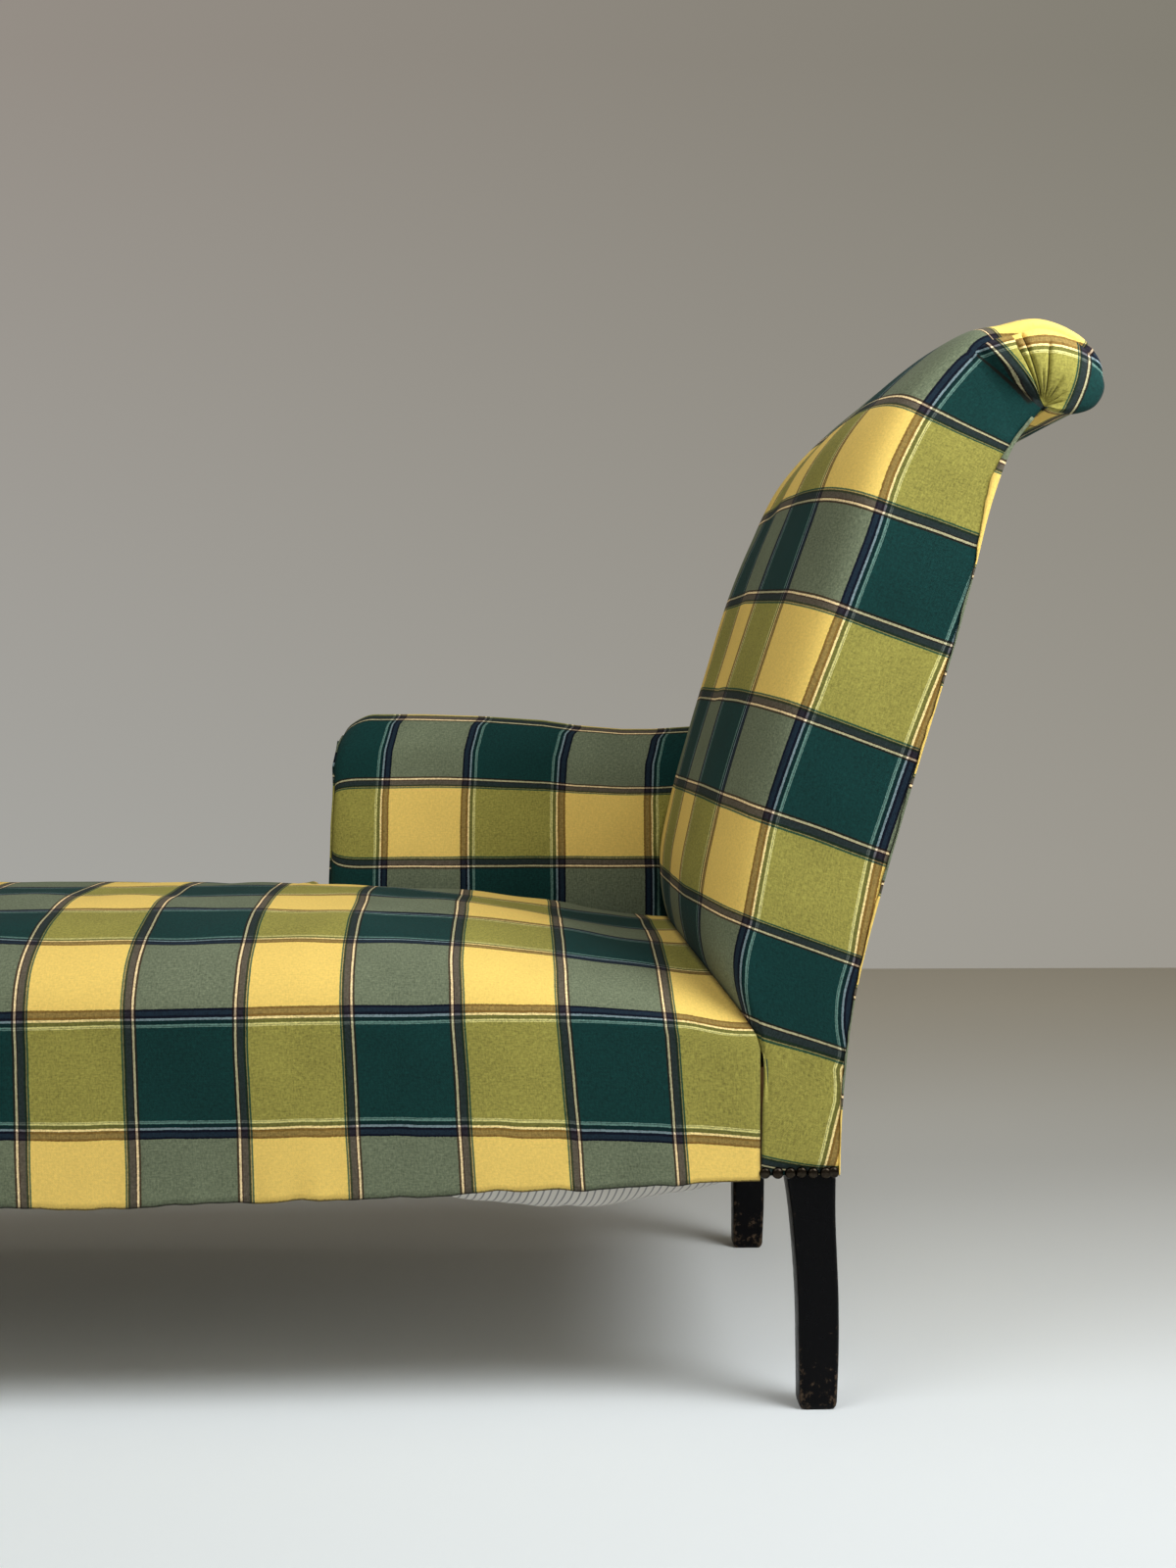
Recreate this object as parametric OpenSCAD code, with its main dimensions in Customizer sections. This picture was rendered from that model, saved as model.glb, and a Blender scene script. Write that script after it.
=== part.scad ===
// Fainting couch: a sprung seat, a raked back that rolls over in a scroll, and one half arm.
// Millimetres. X runs towards the scroll end, Y towards the arm, Z is up from the floor.

/* [Overall] */
// Length from the foot end of the seat to the tip of the scroll
overall_length = 1650; // [1500:10:1900]
// Height of the scroll's top above the floor
overall_height = 925; // [880:5:1000]
// Width over the outer faces of the legs
frame_width = 640; // [580:5:720]

/* [Seat] */
// Height of the rails' lower edge above the floor
leg_height = 200; // [170:5:225]
// Height of the seat's crown
seat_height = 420; // [405:5:450]
// Height at which the seat's sides begin to round over
shoulder_height = 325; // [310:5:340]
// How far the stuffed side stands out from the legs
seat_bulge = 13; // [8:1:20]
// Fall of the crown where the seat meets the back
crown_drop = 38; // [20:1:50]
// Length over which the crown falls towards the back
crown_fall = 390; // [250:10:450]
// Droop of the hem halfway along the seat
hem_droop = 22; // [5:1:30]
// Plan radius of the seat's corners at the foot end
foot_corner = 28; // [16:1:34]
// Length over which the foot end rounds over
foot_round = 52; // [40:1:60]
// Setback of the foot legs from the seat's foot end
foot_setback = 28; // [25:1:40]

/* [Back] */
// Reach of the scroll's tip beyond the back's foot
scroll_reach = 233; // [200:1:260]
// Reach of the scroll's tip beyond the point where its end is gathered
scroll_lip = 63; // [55:1:72]
// Height of the scroll's top above that point
scroll_drop = 80; // [70:1:90]
// Depth of the back's flat side panel
side_depth = 100; // [92:1:110]
// Crown of the back's front beyond its corners
back_crown = 66; // [50:1:80]
// Depth of the back post behind the stuffing
post_depth = 44; // [38:1:50]
// Depth of the post's block at the seat rails
block_depth = 58; // [54:1:61]
// Height of that block
block_height = 96; // [94:1:100]

/* [Arm] */
// Height of the arm's roll above the floor
arm_height = 588; // [560:2:620]
// Length of the arm, from its front to the back's rear edge at the seat
arm_length = 472; // [430:5:560]
// Overhang of the arm's roll beyond the legs
arm_overhang = 37; // [28:1:45]
// Thickness of the arm at the seat
arm_thickness = 108; // [100:1:120]

/* [Frame] */
// Height of the seat rails
rail_height = 90; // [80:1:93]
// Thickness of the seat rails
rail_thickness = 28; // [22:1:32]
// Setback of the rails from the legs' outer faces
rail_inset = 6; // [4:1:9]
// Width of the back posts
post_width = 40; // [34:1:46]
// Thickness of a leg at its foot
foot_size = 32; // [26:1:36]
// Length of the tenons
tenon_length = 24; // [16:1:30]
// Thickness of the tenons
tenon_thickness = 10; // [8:1:12]
// Leg of the corner blocks
corner_block = 44; // [30:1:56]
// Diameter of the arm's dowels
dowel_d = 8; // [6:0.5:10]

/* [Cloth and stuffing] */
// Thickness of the cover and its lining
cloth_t = 2; // [1.5:0.1:2.5]
// Gap between one soft piece and the next
soft_gap = 0.3; // [0.2:0.05:0.5]
// Thickness of the spring canvas
canvas_t = 1.2; // [1:0.1:1.6]
// Height of the spring canvas above the rails
platform_rise = 66; // [62:1:70]
// Depth of the bellies in the dust cover
dust_sag = 42; // [15:1:50]
// Spacing of those bellies
belly_pitch = 430; // [380:5:500]

/* [Springs and webbing] */
// Springs along the seat
spring_columns = 6; // [4:1:6]
// Rows of springs across the seat
spring_rows = 3; // [2:1:3]
// Diameter of a spring at its ends
spring_d = 84; // [70:1:90]
// Height of a spring
spring_height = 143; // [138:1:146]
// Diameter of the spring wire
wire_d = 3.4; // [2.6:0.1:4]
// Turns in a spring
spring_turns = 4; // [3:1:5]
// Diameter of the lashing twine
twine_d = 2.4; // [2:0.1:2.6]
// Width of the webbing
web_width = 52; // [40:1:60]
// Thickness of the webbing
web_t = 1.6; // [1.2:0.1:2]

/* [Nails] */
// Diameter of a nail's domed head
nail_d = 9.5; // [8:0.1:10]
// Distance between nails
nail_pitch = 10.4; // [10.2:0.1:11]
// Height of the dome
nail_dome = 3.2; // [2.5:0.1:4]
// Nails on the flat of each post
nail_count = 6; // [4:1:6]
// Diameter of a nail's shank
shank_d = 1.4; // [1:0.1:1.6]
// Length of a nail's shank
shank_length = 8; // [6:1:8]

/* [Hidden] */
$fn = 48;

// Places shared by the whole frame
frame_y = (seat_bulge - arm_overhang) / 2;
half_frame = frame_width / 2;
half_rail = half_frame - rail_inset;
half_cover = half_frame + cloth_t + soft_gap;
rail_top = leg_height + rail_height;
foot_x = -overall_length / 2;
back_x = overall_length / 2 - scroll_reach;
pivot = [overall_length / 2 - scroll_lip, overall_height - scroll_drop];
lean = pivot[0] - back_x;
rise = pivot[1] - leg_height;
skin = cloth_t + soft_gap;
overrun = 1;
hidden_gap = 0.2;

// Small curve helpers
function lerp(a, b, t) = a + (b - a) * t;
function bound(v, low, high) = min(max(v, low), high);
function ease(t) = let (s = bound(t, 0, 1)) s * s * (3 - 2 * s);
function power(v, n) = v <= 0 ? 0 : pow(v, n);
function knot(list, k) = list[bound(k, 0, len(list) - 1)];
function spline(list, u) =
    let (k = bound(floor(u), 0, len(list) - 2), t = u - k)
    let (a = knot(list, k - 1), b = knot(list, k), c = knot(list, k + 1), d = knot(list, k + 2))
    (2 * b + (c - a) * t + (2 * a - 5 * b + 4 * c - d) * t * t + (3 * b - a - 3 * c + d) * t * t * t) / 2;

// Closes the space between two grids of points that have the same number of rows and columns
module between(over, under) {
    rows = len(over);
    cols = len(over[0]);
    half = rows * cols;
    function at(i, j) = i * cols + j;
    function quad(a, b, c, d) = [[a, b, c], [a, c, d]];
    points = concat([for (row = over) each row], [for (row = under) each row]);
    faces = [
        for (i = [0:rows - 2]) for (j = [0:cols - 2])
            each quad(at(i, j), at(i, j + 1), at(i + 1, j + 1), at(i + 1, j)),
        for (i = [0:rows - 2]) for (j = [0:cols - 2])
            each quad(half + at(i, j), half + at(i + 1, j), half + at(i + 1, j + 1), half + at(i, j + 1)),
        for (j = [0:cols - 2])
            each quad(at(0, j + 1), at(0, j), half + at(0, j), half + at(0, j + 1)),
        for (j = [0:cols - 2])
            each quad(at(rows - 1, j), at(rows - 1, j + 1), half + at(rows - 1, j + 1), half + at(rows - 1, j)),
        for (i = [0:rows - 2])
            each quad(at(i, 0), at(i + 1, 0), half + at(i + 1, 0), half + at(i, 0)),
        for (i = [0:rows - 2])
            each quad(at(i + 1, cols - 1), at(i, cols - 1), half + at(i, cols - 1), half + at(i + 1, cols - 1))
    ];
    polyhedron(points, faces);
}

// Sweeps a tube with flat sides along a list of points
module tube(path, size, sides) {
    n = len(path);
    function unit(v) = v / norm(v);
    rings = [for (i = [0:n - 1])
        let (along = unit(path[min(i + 1, n - 1)] - path[max(i - 1, 0)]))
        let (out = unit(cross(along, [0, 0, 1])), up = cross(out, along))
        [for (k = [0:sides - 1]) let (turn = 360 * (k + 0.5) / sides)
            path[i] + size / 2 * (cos(turn) * out + sin(turn) * up)]];
    faces = [
        for (i = [0:n - 2]) for (k = [0:sides - 1])
            let (a = i * sides + k, b = i * sides + (k + 1) % sides)
            each [[a, b, b + sides], [a, b + sides, a + sides]],
        for (k = [1:sides - 2]) [0, k + 1, k],
        for (k = [1:sides - 2]) let (e = (n - 1) * sides) [e, e + k, e + k + 1]
    ];
    polyhedron([for (ring = rings) each ring], faces);
}

// Stands a profile drawn in X and Z upright, from one place across the couch to another
module across(y_from, y_to, profile) {
    translate([0, y_to, 0])
        rotate([90, 0, 0])
            linear_extrude(y_to - y_from)
                polygon(profile);
}

// The back's side profile, station by station. The leaning part is given by shares of its lean and
// rise, the tilt of each section, shares of the side panel's depth and the crown, and how far the
// post has thinned from its block.
stile_shares = [
    [0.000, 0.000, 0, 0.64, 0.00, 0.00],
    [0.006, 0.062, 8, 0.65, 0.05, 0.00],
    [0.024, 0.129, 17, 0.70, 0.30, 0.00],
    [0.059, 0.209, 20, 0.92, 0.68, 0.60],
    [0.118, 0.287, 20, 0.96, 0.91, 1.00],
    [0.212, 0.380, 20, 0.99, 0.95, 1.00],
    [0.329, 0.488, 20, 1.00, 0.97, 1.00],
    [0.447, 0.592, 20, 1.00, 0.98, 1.00],
    [0.559, 0.690, 20, 0.98, 1.00, 1.00],
    [0.653, 0.783, 20, 0.92, 0.97, 1.00],
    [0.741, 0.876, 21, 0.86, 0.85, 1.15],
    [0.847, 0.949, 26, 0.78, 0.62, 1.45]
];
// The scroll turns about the point where its end is gathered: shares of its lip and drop, then the
// shares of that reach at which the flat end stops and the crest rail stops.
scroll_shares = [
    [-1.160, 0.825, 0.74, 0.36],
    [-0.556, 0.940, 0.78, 0.36],
    [0.000, 1.000, 0.80, 0.36],
    [0.556, 0.825, 0.80, 0.38],
    [0.863, 0.530, 0.80, 0.38],
    [1.000, 0.256, 0.80, 0.38],
    [0.857, 0.000, 0.78, 0.38],
    [0.524, -0.110, 0.74, 0.36],
    [0.214, -0.080, 0.70, 0.34]
];
function tilted(angle) = [-cos(angle), sin(angle)];
function stile_rear(s) = [back_x + s[0] * lean, leg_height + s[1] * rise];
function scroll_reach_at(s) = [s[0] * scroll_lip, s[1] * scroll_drop];
rear_line = [for (s = stile_shares) stile_rear(s), for (s = scroll_shares) pivot];
corner_line = [
    for (s = stile_shares) stile_rear(s) + s[3] * side_depth * tilted(s[2]),
    for (s = scroll_shares) pivot + s[2] * scroll_reach_at(s)];
front_line = [
    for (s = stile_shares) stile_rear(s) + (s[3] * side_depth + s[4] * back_crown) * tilted(s[2]),
    for (s = scroll_shares) pivot + scroll_reach_at(s)];
core_line = [
    for (s = stile_shares) stile_rear(s) + lerp(block_depth, post_depth, s[5]) * tilted(s[2]),
    for (s = scroll_shares) pivot + s[3] * scroll_reach_at(s)];
last_station = len(rear_line) - 1;
first_scroll = len(stile_shares);
front_start_rows = 1.9;
tuck_start_rows = 2.6;
tuck_share = 0.05;
post_start_rows = 2;

function rear_at(u) = let (p = spline(rear_line, u)) [min(p[0], pivot[0]), min(p[1], pivot[1])];
function corner_at(u) = spline(corner_line, u);
function front_at(u) = spline(front_line, u);
function core_at(u) = spline(core_line, u);

// One point of the back's skin. Across runs from 0 at the near rear edge to 1 at the far one.
side_columns = 2;
crown_columns = 14;
back_columns = 2 * side_columns + crown_columns;
fullness = 0.88;
roll_fullness = 0.55;
function fullness_at(u) = lerp(fullness, roll_fullness, ease((u - stay_rows) / (first_scroll - stay_rows)));
function crown_angle(k) = k <= 0 ? 0 : k >= crown_columns ? 180
    : 8 + (k - 1) * 164 / (crown_columns - 2);
function back_point(u, j, inset) =
    let (rear = rear_at(u), corner = corner_at(u), front = front_at(u))
    let (k = j - side_columns, half = half_cover - inset)
    let (out = front - rear, shrink = bound(1 - inset / max(norm(out), inset * 2), 0, 1))
    k < 0 || k > crown_columns
        ? let (t = (k < 0 ? j : back_columns - j) / side_columns, p = lerp(rear, corner, t * shrink + 0))
            [p[0], frame_y + (k < 0 ? -half : half), p[1]]
        : let (a = crown_angle(k), n = fullness_at(u), s = power(sin(a), n))
            let (p = lerp(rear, lerp(corner, front, s), shrink))
            [p[0], frame_y - sign(cos(a)) * half * power(abs(cos(a)), n), p[1]];
function crown_share(k) = power(sin(crown_angle(k)), fullness);
function back_start(j) = (j <= side_columns || j >= back_columns - side_columns) ? 0
    : lerp(front_start_rows, tuck_start_rows, crown_share(j - side_columns));
back_rows = [for (k = [0:1:first_scroll - 2]) k, for (k = [first_scroll - 1:0.5:last_station]) k];
function back_row(u, j) = max(u, back_start(j) + tuck_share * u);
function back_grid(inset) = [for (u = back_rows) [for (j = [0:back_columns]) back_point(back_row(u, j), j, inset)]];

module back_cover() {
    color("olivedrab")
        difference() {
            between(back_grid(0), back_grid(cloth_t));
            arm_cuts();
        }
}

// The stuffing lies in front of the posts and wraps the crest rail
pad_start_rows = 2;
pad_side_share = 0.3;
function outward(u) = let (v = front_at(u) - rear_at(u)) v / norm(v);
function front_step(u, d) = core_at(u) + d * outward(u);
function pad_front(u, j) =
    j >= side_columns && j <= back_columns - side_columns ? back_point(max(back_row(u, j), pad_start_rows), j, skin)
    : let (p = lerp(core_at(u), corner_at(u), pad_side_share))
        [p[0], frame_y + (j < side_columns ? -1 : 1) * (half_cover - skin), p[1]];
function pad_back(u, j) =
    let (v = max(back_row(u, j), pad_start_rows), p = front_step(v, web_t + canvas_t + 2 * hidden_gap + 3 * soft_gap))
    [p[0], frame_y + (half_frame - overrun) * (2 * (j - side_columns + 1) / (crown_columns + 2) - 1), p[1]];

module back_pad() {
    columns = [side_columns - 1:back_columns - side_columns + 1];
    rows = [for (u = back_rows) if (u >= pad_start_rows && u < last_station) u];
    color("wheat")
        difference() {
            between(
                [for (u = rows) [for (j = columns) pad_front(u, j)]],
                [for (u = rows) [for (j = columns) pad_back(u, j)]]);
            arm_cuts();
        }
}

// Canvas and webbing over the front of the posts
module back_canvas() {
    stations = [post_start_rows + 1.5:1:first_scroll - 2];
    face = [for (u = stations) front_step(u, web_t + canvas_t + 2 * hidden_gap)];
    under = [for (u = stations) front_step(u, web_t + 2 * hidden_gap)];
    color("burlywood")
        difference() {
            across(frame_y - half_frame + overrun, frame_y + half_frame - overrun,
                concat(face, [for (k = [len(under) - 1:-1:0]) under[k]]));
            arm_cuts();
        }
}

module back_webbing() {
    color("tan")
        difference() {
            for (u = [post_start_rows + 2:2:first_scroll - 3]) {
                a = front_step(u - 0.35, hidden_gap);
                b = front_step(u + 0.35, hidden_gap);
                n = [b[1] - a[1], a[0] - b[0]] * (-web_t / norm(b - a));
                across(frame_y - half_frame + overrun, frame_y + half_frame - overrun, [a, b, b + n, a + n]);
            }
            arm_cuts();
        }
}

// The outside of the back is a separate cloth, sewn in along the rear edges
module outside_back_panel() {
    stations = [for (u = [0:1:first_scroll - 1]) u, first_scroll - 0.4];
    outer = [for (u = stations) rear_at(u)];
    inner = [for (k = [len(outer) - 1:-1:0]) outer[k] + cloth_t * tilted(rear_tilt(stations[k]))];
    color("darkolivegreen")
        across(frame_y - half_cover + skin, frame_y + half_cover - skin, concat(outer, inner));
}

// The wooden core of the back: a sabre leg, a block for the seat rails, and a raked stile
leg_front_shares = [[0.27, 0], [0.26, 0.25], [0.235, 0.5], [0.13, 0.8], [0, 1]];
leg_rear_shares = [[1.03, 0], [1.07, 0.25], [1.06, 0.5], [1.0, 0.8], [1.0, 1]];
leg_top = 42;
function leg_edge(shares, x, flip) =
    [for (u = [0:0.5:len(shares) - 1]) let (s = spline(shares, u)) [x + flip * s[0] * leg_top, s[1] * leg_height]];
stile_step = 0.5;
function rear_tilt(u) = u < 1.5 ? 3 : u < 3 ? 12 : 18;
function stile_rear_in(u) = rear_at(u) + skin * tilted(rear_tilt(u));
post_x = stile_rear_in(0)[0];

function post_outline() = concat(
    leg_edge(leg_front_shares, post_x - leg_top, 1),
    [[post_x - block_depth, leg_height], [post_x - block_depth, leg_height + block_height]],
    [for (u = [post_start_rows:stile_step:last_station]) core_at(u)],
    [for (u = [first_scroll:-stile_step:1]) stile_rear_in(u)],
    [for (k = [len(leg_rear_shares) * 2 - 2:-1:0]) leg_edge(leg_rear_shares, post_x - leg_top, 1)[k]]);

// Mortise and tenon shapes. Tenons run along X or Y and the mortises are cut with a clearance.
joint_clearance = 0.15;
tenon_share = 0.6;
module rail_tenon(x, y, along, extra) {
    height = rail_height * tenon_share;
    long = tenon_length + extra;
    size = along == "x"
        ? [long, tenon_thickness + 2 * extra, height + 2 * extra]
        : [tenon_thickness + 2 * extra, long, height + 2 * extra];
    translate([x - size[0] / 2, y - size[1] / 2, leg_height + rail_height / 2 - size[2] / 2])
        cube(size);
}

side_rail_y = half_rail - rail_thickness / 2;
head_rail_x = post_x - block_depth + rail_thickness / 2;
foot_leg_x = foot_x + foot_setback;
foot_rail_x = foot_leg_x + rail_inset + rail_thickness / 2;
rail_from = foot_leg_x + leg_top;
rail_to = post_x - block_depth;
side_tenon_y = side_rail_y + rail_thickness / 4;
cross_tenon_share = 0.32;
cross_tenon = tenon_length * cross_tenon_share;

module side_tenons(side, extra) {
    for (x = [rail_from, rail_to])
        rail_tenon(x, frame_y + side * side_tenon_y, "x", extra);
}

module cross_tenons(x, extra) {
    for (side = [-1, 1])
        translate([x - tenon_thickness / 2 - extra,
            frame_y + side * (half_frame - post_width) - cross_tenon - extra,
            leg_height + rail_height * (1 - tenon_share) / 2 - extra])
            cube([tenon_thickness + 2 * extra, 2 * (cross_tenon + extra), rail_height * tenon_share + 2 * extra]);
}

module crest_tenons(extra) {
    p = core_at(first_scroll + 2);
    c = lerp(p, pivot, 0.45);
    for (side = [-1, 1])
        translate([c[0], frame_y + side * (half_frame - post_width), c[1]])
            rotate([90, 0, 0])
                cylinder(h = 2 * (cross_tenon + extra), r = tenon_thickness / 2 + extra, center = true);
}

stay_rows = 8;
stay_height = 60;
stay_setback = 6;
module stay_block(y_half, thin, tall) {
    c = lerp(stile_rear_in(stay_rows), core_at(stay_rows), 0.5);
    translate([c[0], frame_y, c[1]])
        rotate([0, 16, 0])
            cube([thin, 2 * y_half, tall], center = true);
}

module stay_tenons(extra) {
    difference() {
        stay_block(half_frame - post_width + cross_tenon + extra, tenon_thickness + 2 * extra, stay_height / 2 + 2 * extra);
        stay_block(half_frame - post_width - cross_tenon, post_depth, stay_height);
    }
}

module leg_taper(y, side) {
    inner = side * (post_width - foot_size);
    face = frame_y + side * half_frame;
    translate([-overall_length, 0, 0])
        rotate([90, 0, 90])
            linear_extrude(2 * overall_length)
                polygon([[face, 0], [face - side * foot_size, 0], [face - side * post_width, leg_height],
                    [face - side * post_width, overall_height], [face, overall_height]]);
}

module back_post(side) {
    near = frame_y + side * half_frame;
    difference() {
        intersection() {
            across(min(near, near - side * post_width), max(near, near - side * post_width), post_outline());
            leg_taper(near, side);
        }
        side_tenons(side, joint_clearance);
        cross_tenons(head_rail_x, joint_clearance);
        crest_tenons(joint_clearance);
        stay_tenons(joint_clearance);
        nail_row(side) nail_shank(hidden_gap / 2);
        if (side > 0) {
            arm_rail_tenon(joint_clearance);
            tacking_tenon(joint_clearance);
        }
    }
}

module near_back_post() {
    color("#0b0b0f") back_post(-1);
}

module far_back_post() {
    color("#0b0b0f") back_post(1);
}

module foot_leg(side) {
    near = frame_y + side * half_frame;
    outline = concat(
        leg_edge(leg_front_shares, foot_leg_x + leg_top, -1),
        [[foot_leg_x + leg_top, rail_top], [foot_leg_x, rail_top]],
        [for (k = [len(leg_rear_shares) * 2 - 2:-1:0]) leg_edge(leg_rear_shares, foot_leg_x + leg_top, -1)[k]]);
    difference() {
        intersection() {
            across(min(near, near - side * post_width), max(near, near - side * post_width), outline);
            leg_taper(near, side);
        }
        side_tenons(side, joint_clearance);
        cross_tenons(foot_rail_x, joint_clearance);
    }
}

module near_foot_leg() {
    color("#0b0b0f") foot_leg(-1);
}

module far_foot_leg() {
    color("#0b0b0f") foot_leg(1);
}

// Seat rails
module side_rail(side) {
    union() {
        translate([rail_from, frame_y + side * side_rail_y - rail_thickness / 2, leg_height])
            cube([rail_to - rail_from, rail_thickness, rail_height]);
        side_tenons(side, 0);
    }
}

module near_side_rail() {
    color("peru") side_rail(-1);
}

module far_side_rail() {
    color("peru")
        difference() {
            side_rail(1);
            stump_dowels(joint_clearance);
        }
}

module cross_rail(x) {
    union() {
        translate([x - rail_thickness / 2, frame_y - half_frame + post_width, leg_height])
            cube([rail_thickness, 2 * (half_frame - post_width), rail_height]);
        cross_tenons(x, 0);
    }
}

module foot_rail() {
    color("peru") cross_rail(foot_rail_x);
}

module head_rail() {
    color("peru") cross_rail(head_rail_x);
}

// Glued blocks in the four corners, clear of the webbing
block_margin = 12;
module corner_blocks() {
    color("burlywood")
        for (side = [-1, 1]) for (end = [0, 1]) {
            x = end == 0 ? foot_rail_x + rail_thickness / 2 : head_rail_x - rail_thickness / 2;
            y = frame_y + side * (end == 0 ? half_frame - post_width : half_rail - rail_thickness);
            dx = (end == 0 ? 1 : -1) * corner_block;
            translate([0, 0, leg_height + block_margin])
                linear_extrude(rail_height - 2 * block_margin)
                    polygon([[x, y], [x + dx, y], [x, y - side * corner_block]]);
        }
}

module crest_rail() {
    core = [for (u = [first_scroll - 1:stile_step:last_station]) core_at(u)];
    rear = [for (u = [first_scroll:-stile_step:first_scroll - 1]) stile_rear_in(u)];
    color("peru")
        union() {
            across(frame_y - half_frame + post_width, frame_y + half_frame - post_width, concat(core, rear));
            crest_tenons(0);
        }
}

module back_stay_rail() {
    color("peru")
        union() {
            stay_block(half_frame - post_width, post_depth - 2 * stay_setback, stay_height);
            stay_tenons(0);
        }
}

// The spring canvas lies over the lashed springs and comes down on the rails
platform_power = 4;
platform_run = 100;
platform_base = rail_top + twine_d + canvas_t + soft_gap;
ceiling = platform_base + platform_rise + soft_gap;
head_fall = 44;

// The arm: wooden frame, stuffing, sleeve, facing and outside panel
arm_x = back_x - arm_length;
arm_outer = frame_y + half_frame;
arm_inner = arm_outer - arm_thickness;
arm_wood = 46;
arm_base = ceiling + soft_gap;
arm_rise = arm_height - arm_base;
roll_width = arm_thickness + arm_overhang;
// Across and height shares of the arm's section, from the seat up its face, over the roll and under
arm_shares = [
    [0.000, 0.000], [0.000, 0.148], [0.048, 0.322], [0.166, 0.522], [0.276, 0.704], [0.400, 0.878],
    [0.628, 1.000], [0.883, 0.935], [1.000, 0.765], [0.924, 0.617], [0.772, 0.556]];
arm_centre_shares = [0.52, 0.50];
function arm_section(u) = let (s = spline(arm_shares, u)) [arm_inner + s[0] * roll_width, arm_base + s[1] * arm_rise];
arm_centre = [arm_inner + arm_centre_shares[0] * roll_width, arm_base + arm_centre_shares[1] * arm_rise];

// Where the back's front, and the front of its posts, lie at a given height
function skin_share(y) = let (w = bound(abs(y - frame_y) / half_cover, 0, 1)) power(1 - power(w, 2 / fullness), fullness / 2);
function skin_at(u, s) = lerp(corner_at(u), front_at(u), s);
function skin_station(s, z, low, high, tries) =
    let (mid = (low + high) / 2)
    tries == 0 ? mid
        : skin_at(mid, s)[1] < z ? skin_station(s, z, mid, high, tries - 1) : skin_station(s, z, low, mid, tries - 1);
function front_x(y, z) = let (s = skin_share(y)) skin_at(skin_station(s, z, 1, first_scroll, 14), s)[0];
function post_station(z, low, high, tries) =
    let (mid = (low + high) / 2)
    tries == 0 ? mid : core_at(mid)[1] < z ? post_station(z, mid, high, tries - 1) : post_station(z, low, mid, tries - 1);
function post_face(z) = core_at(post_station(z, post_start_rows, first_scroll, 14))[0];

arm_rounding = 34;
crevice_gap = 1.2;
arm_gap = 6;
arm_row_shares = [[0.00, 0.80], [0.12, 0.90], [0.40, 0.97], [1.00, 1.00]];
arm_body_shares = [0.25, 0.5, 0.75];
arm_steps = 2;
function arm_ring(x, grow, inset, j) =
    let (p = arm_section(j / arm_steps), c = arm_centre, d = p - c)
    let (q = c + d * grow * (1 - inset / norm(d)))
    [x, q[0], max(q[1], arm_base)];
function arm_end(j, inset) =
    let (p = arm_ring(0, 1, inset, j))
    [front_x(p[1], p[2]) - arm_gap - inset * 2, p[1], p[2]];
arm_columns = (len(arm_shares) - 1) * arm_steps;
function arm_grid(inset) = concat(
    [for (s = arm_row_shares) [for (j = [0:arm_columns])
        arm_ring(arm_x + skin + s[0] * arm_rounding, s[1], inset, j)]],
    [for (t = arm_body_shares) [for (j = [0:arm_columns])
        let (a = arm_ring(arm_x + skin + arm_rounding, 1, inset, j), b = arm_end(j, inset)) lerp(a, b, t)]],
    [[for (j = [0:arm_columns]) arm_end(j, inset)]]);

module arm_cover() {
    color("olivedrab") between(arm_grid(0), arm_grid(cloth_t));
}

// The wood that the arm's stuffing wraps: up its inner face, over the rounded top and down outside
arm_cap = 30;
arm_rail_top = arm_height - arm_cap;
wrap_gap = 1.3;
function wood_wrap(j) =
    let (t = j / arm_columns, x0 = arm_outer - arm_wood, r = arm_wood / 2)
    t < 0.5 ? [x0 - wrap_gap, lerp(arm_base, arm_rail_top - r, t * 2)]
        : let (a = 180 * min((t - 0.5) / 0.32, 1), low = max(t - 0.82, 0) / 0.18 * r * 0.4)
            [x0 + r - (r + wrap_gap) * cos(a), arm_rail_top - r + (r + wrap_gap) * sin(a) - low];

module arm_pad() {
    over = arm_grid(skin);
    rows = len(over);
    under = [for (i = [0:rows - 1]) [for (j = [0:arm_columns])
        let (w = wood_wrap(j), x = i == rows - 1 ? front_x(w[0], w[1]) - arm_gap - skin * 2 : over[i][j][0])
            [x + (i == 0 ? overrun : 0), w[0], w[1]]]];
    color("wheat") between(over, under);
}

module arm_front_facing() {
    ring = [for (j = [0:arm_columns]) let (p = arm_ring(0, 0.8, 0, j)) [p[1], p[2]]];
    color("darkolivegreen")
        translate([arm_x, 0, 0])
            rotate([90, 0, 90])
                linear_extrude(cloth_t)
                    polygon(concat(ring, [[arm_outer - soft_gap * 4, arm_base]]));
}

stump_setback = 12;
stump_x = arm_x + skin + stump_setback;
stump_depth = 40;
tack_height = 26;
module arm_stump() {
    color("peru")
        difference() {
            translate([stump_x, arm_outer - arm_wood, rail_top])
                cube([stump_depth, arm_wood, arm_rail_top - arm_wood - rail_top]);
            stump_dowels(joint_clearance);
            tacking_tenon(joint_clearance);
        }
}

dowel_length = 44;
module stump_dowels(extra) {
    for (x = [stump_x + stump_depth / 4, stump_x + stump_depth * 3 / 4]) {
        translate([x, frame_y + side_rail_y, rail_top])
            cylinder(h = dowel_length + 2 * extra, r = dowel_d / 2 + extra, center = true);
        translate([x, arm_outer - arm_wood / 2, arm_rail_top - arm_wood])
            cylinder(h = dowel_length + 2 * extra, r = dowel_d / 2 + extra, center = true);
    }
}

module arm_dowels() {
    color("burlywood") stump_dowels(0);
}

module arm_rail_tenon(extra) {
    z = arm_rail_top - arm_wood / 2;
    x = post_face(z);
    translate([x, arm_outer - post_width / 2, z])
        rotate([0, 90, 0])
            cylinder(h = tenon_length + 2 * extra, r = tenon_thickness + extra, center = true);
}

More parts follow.
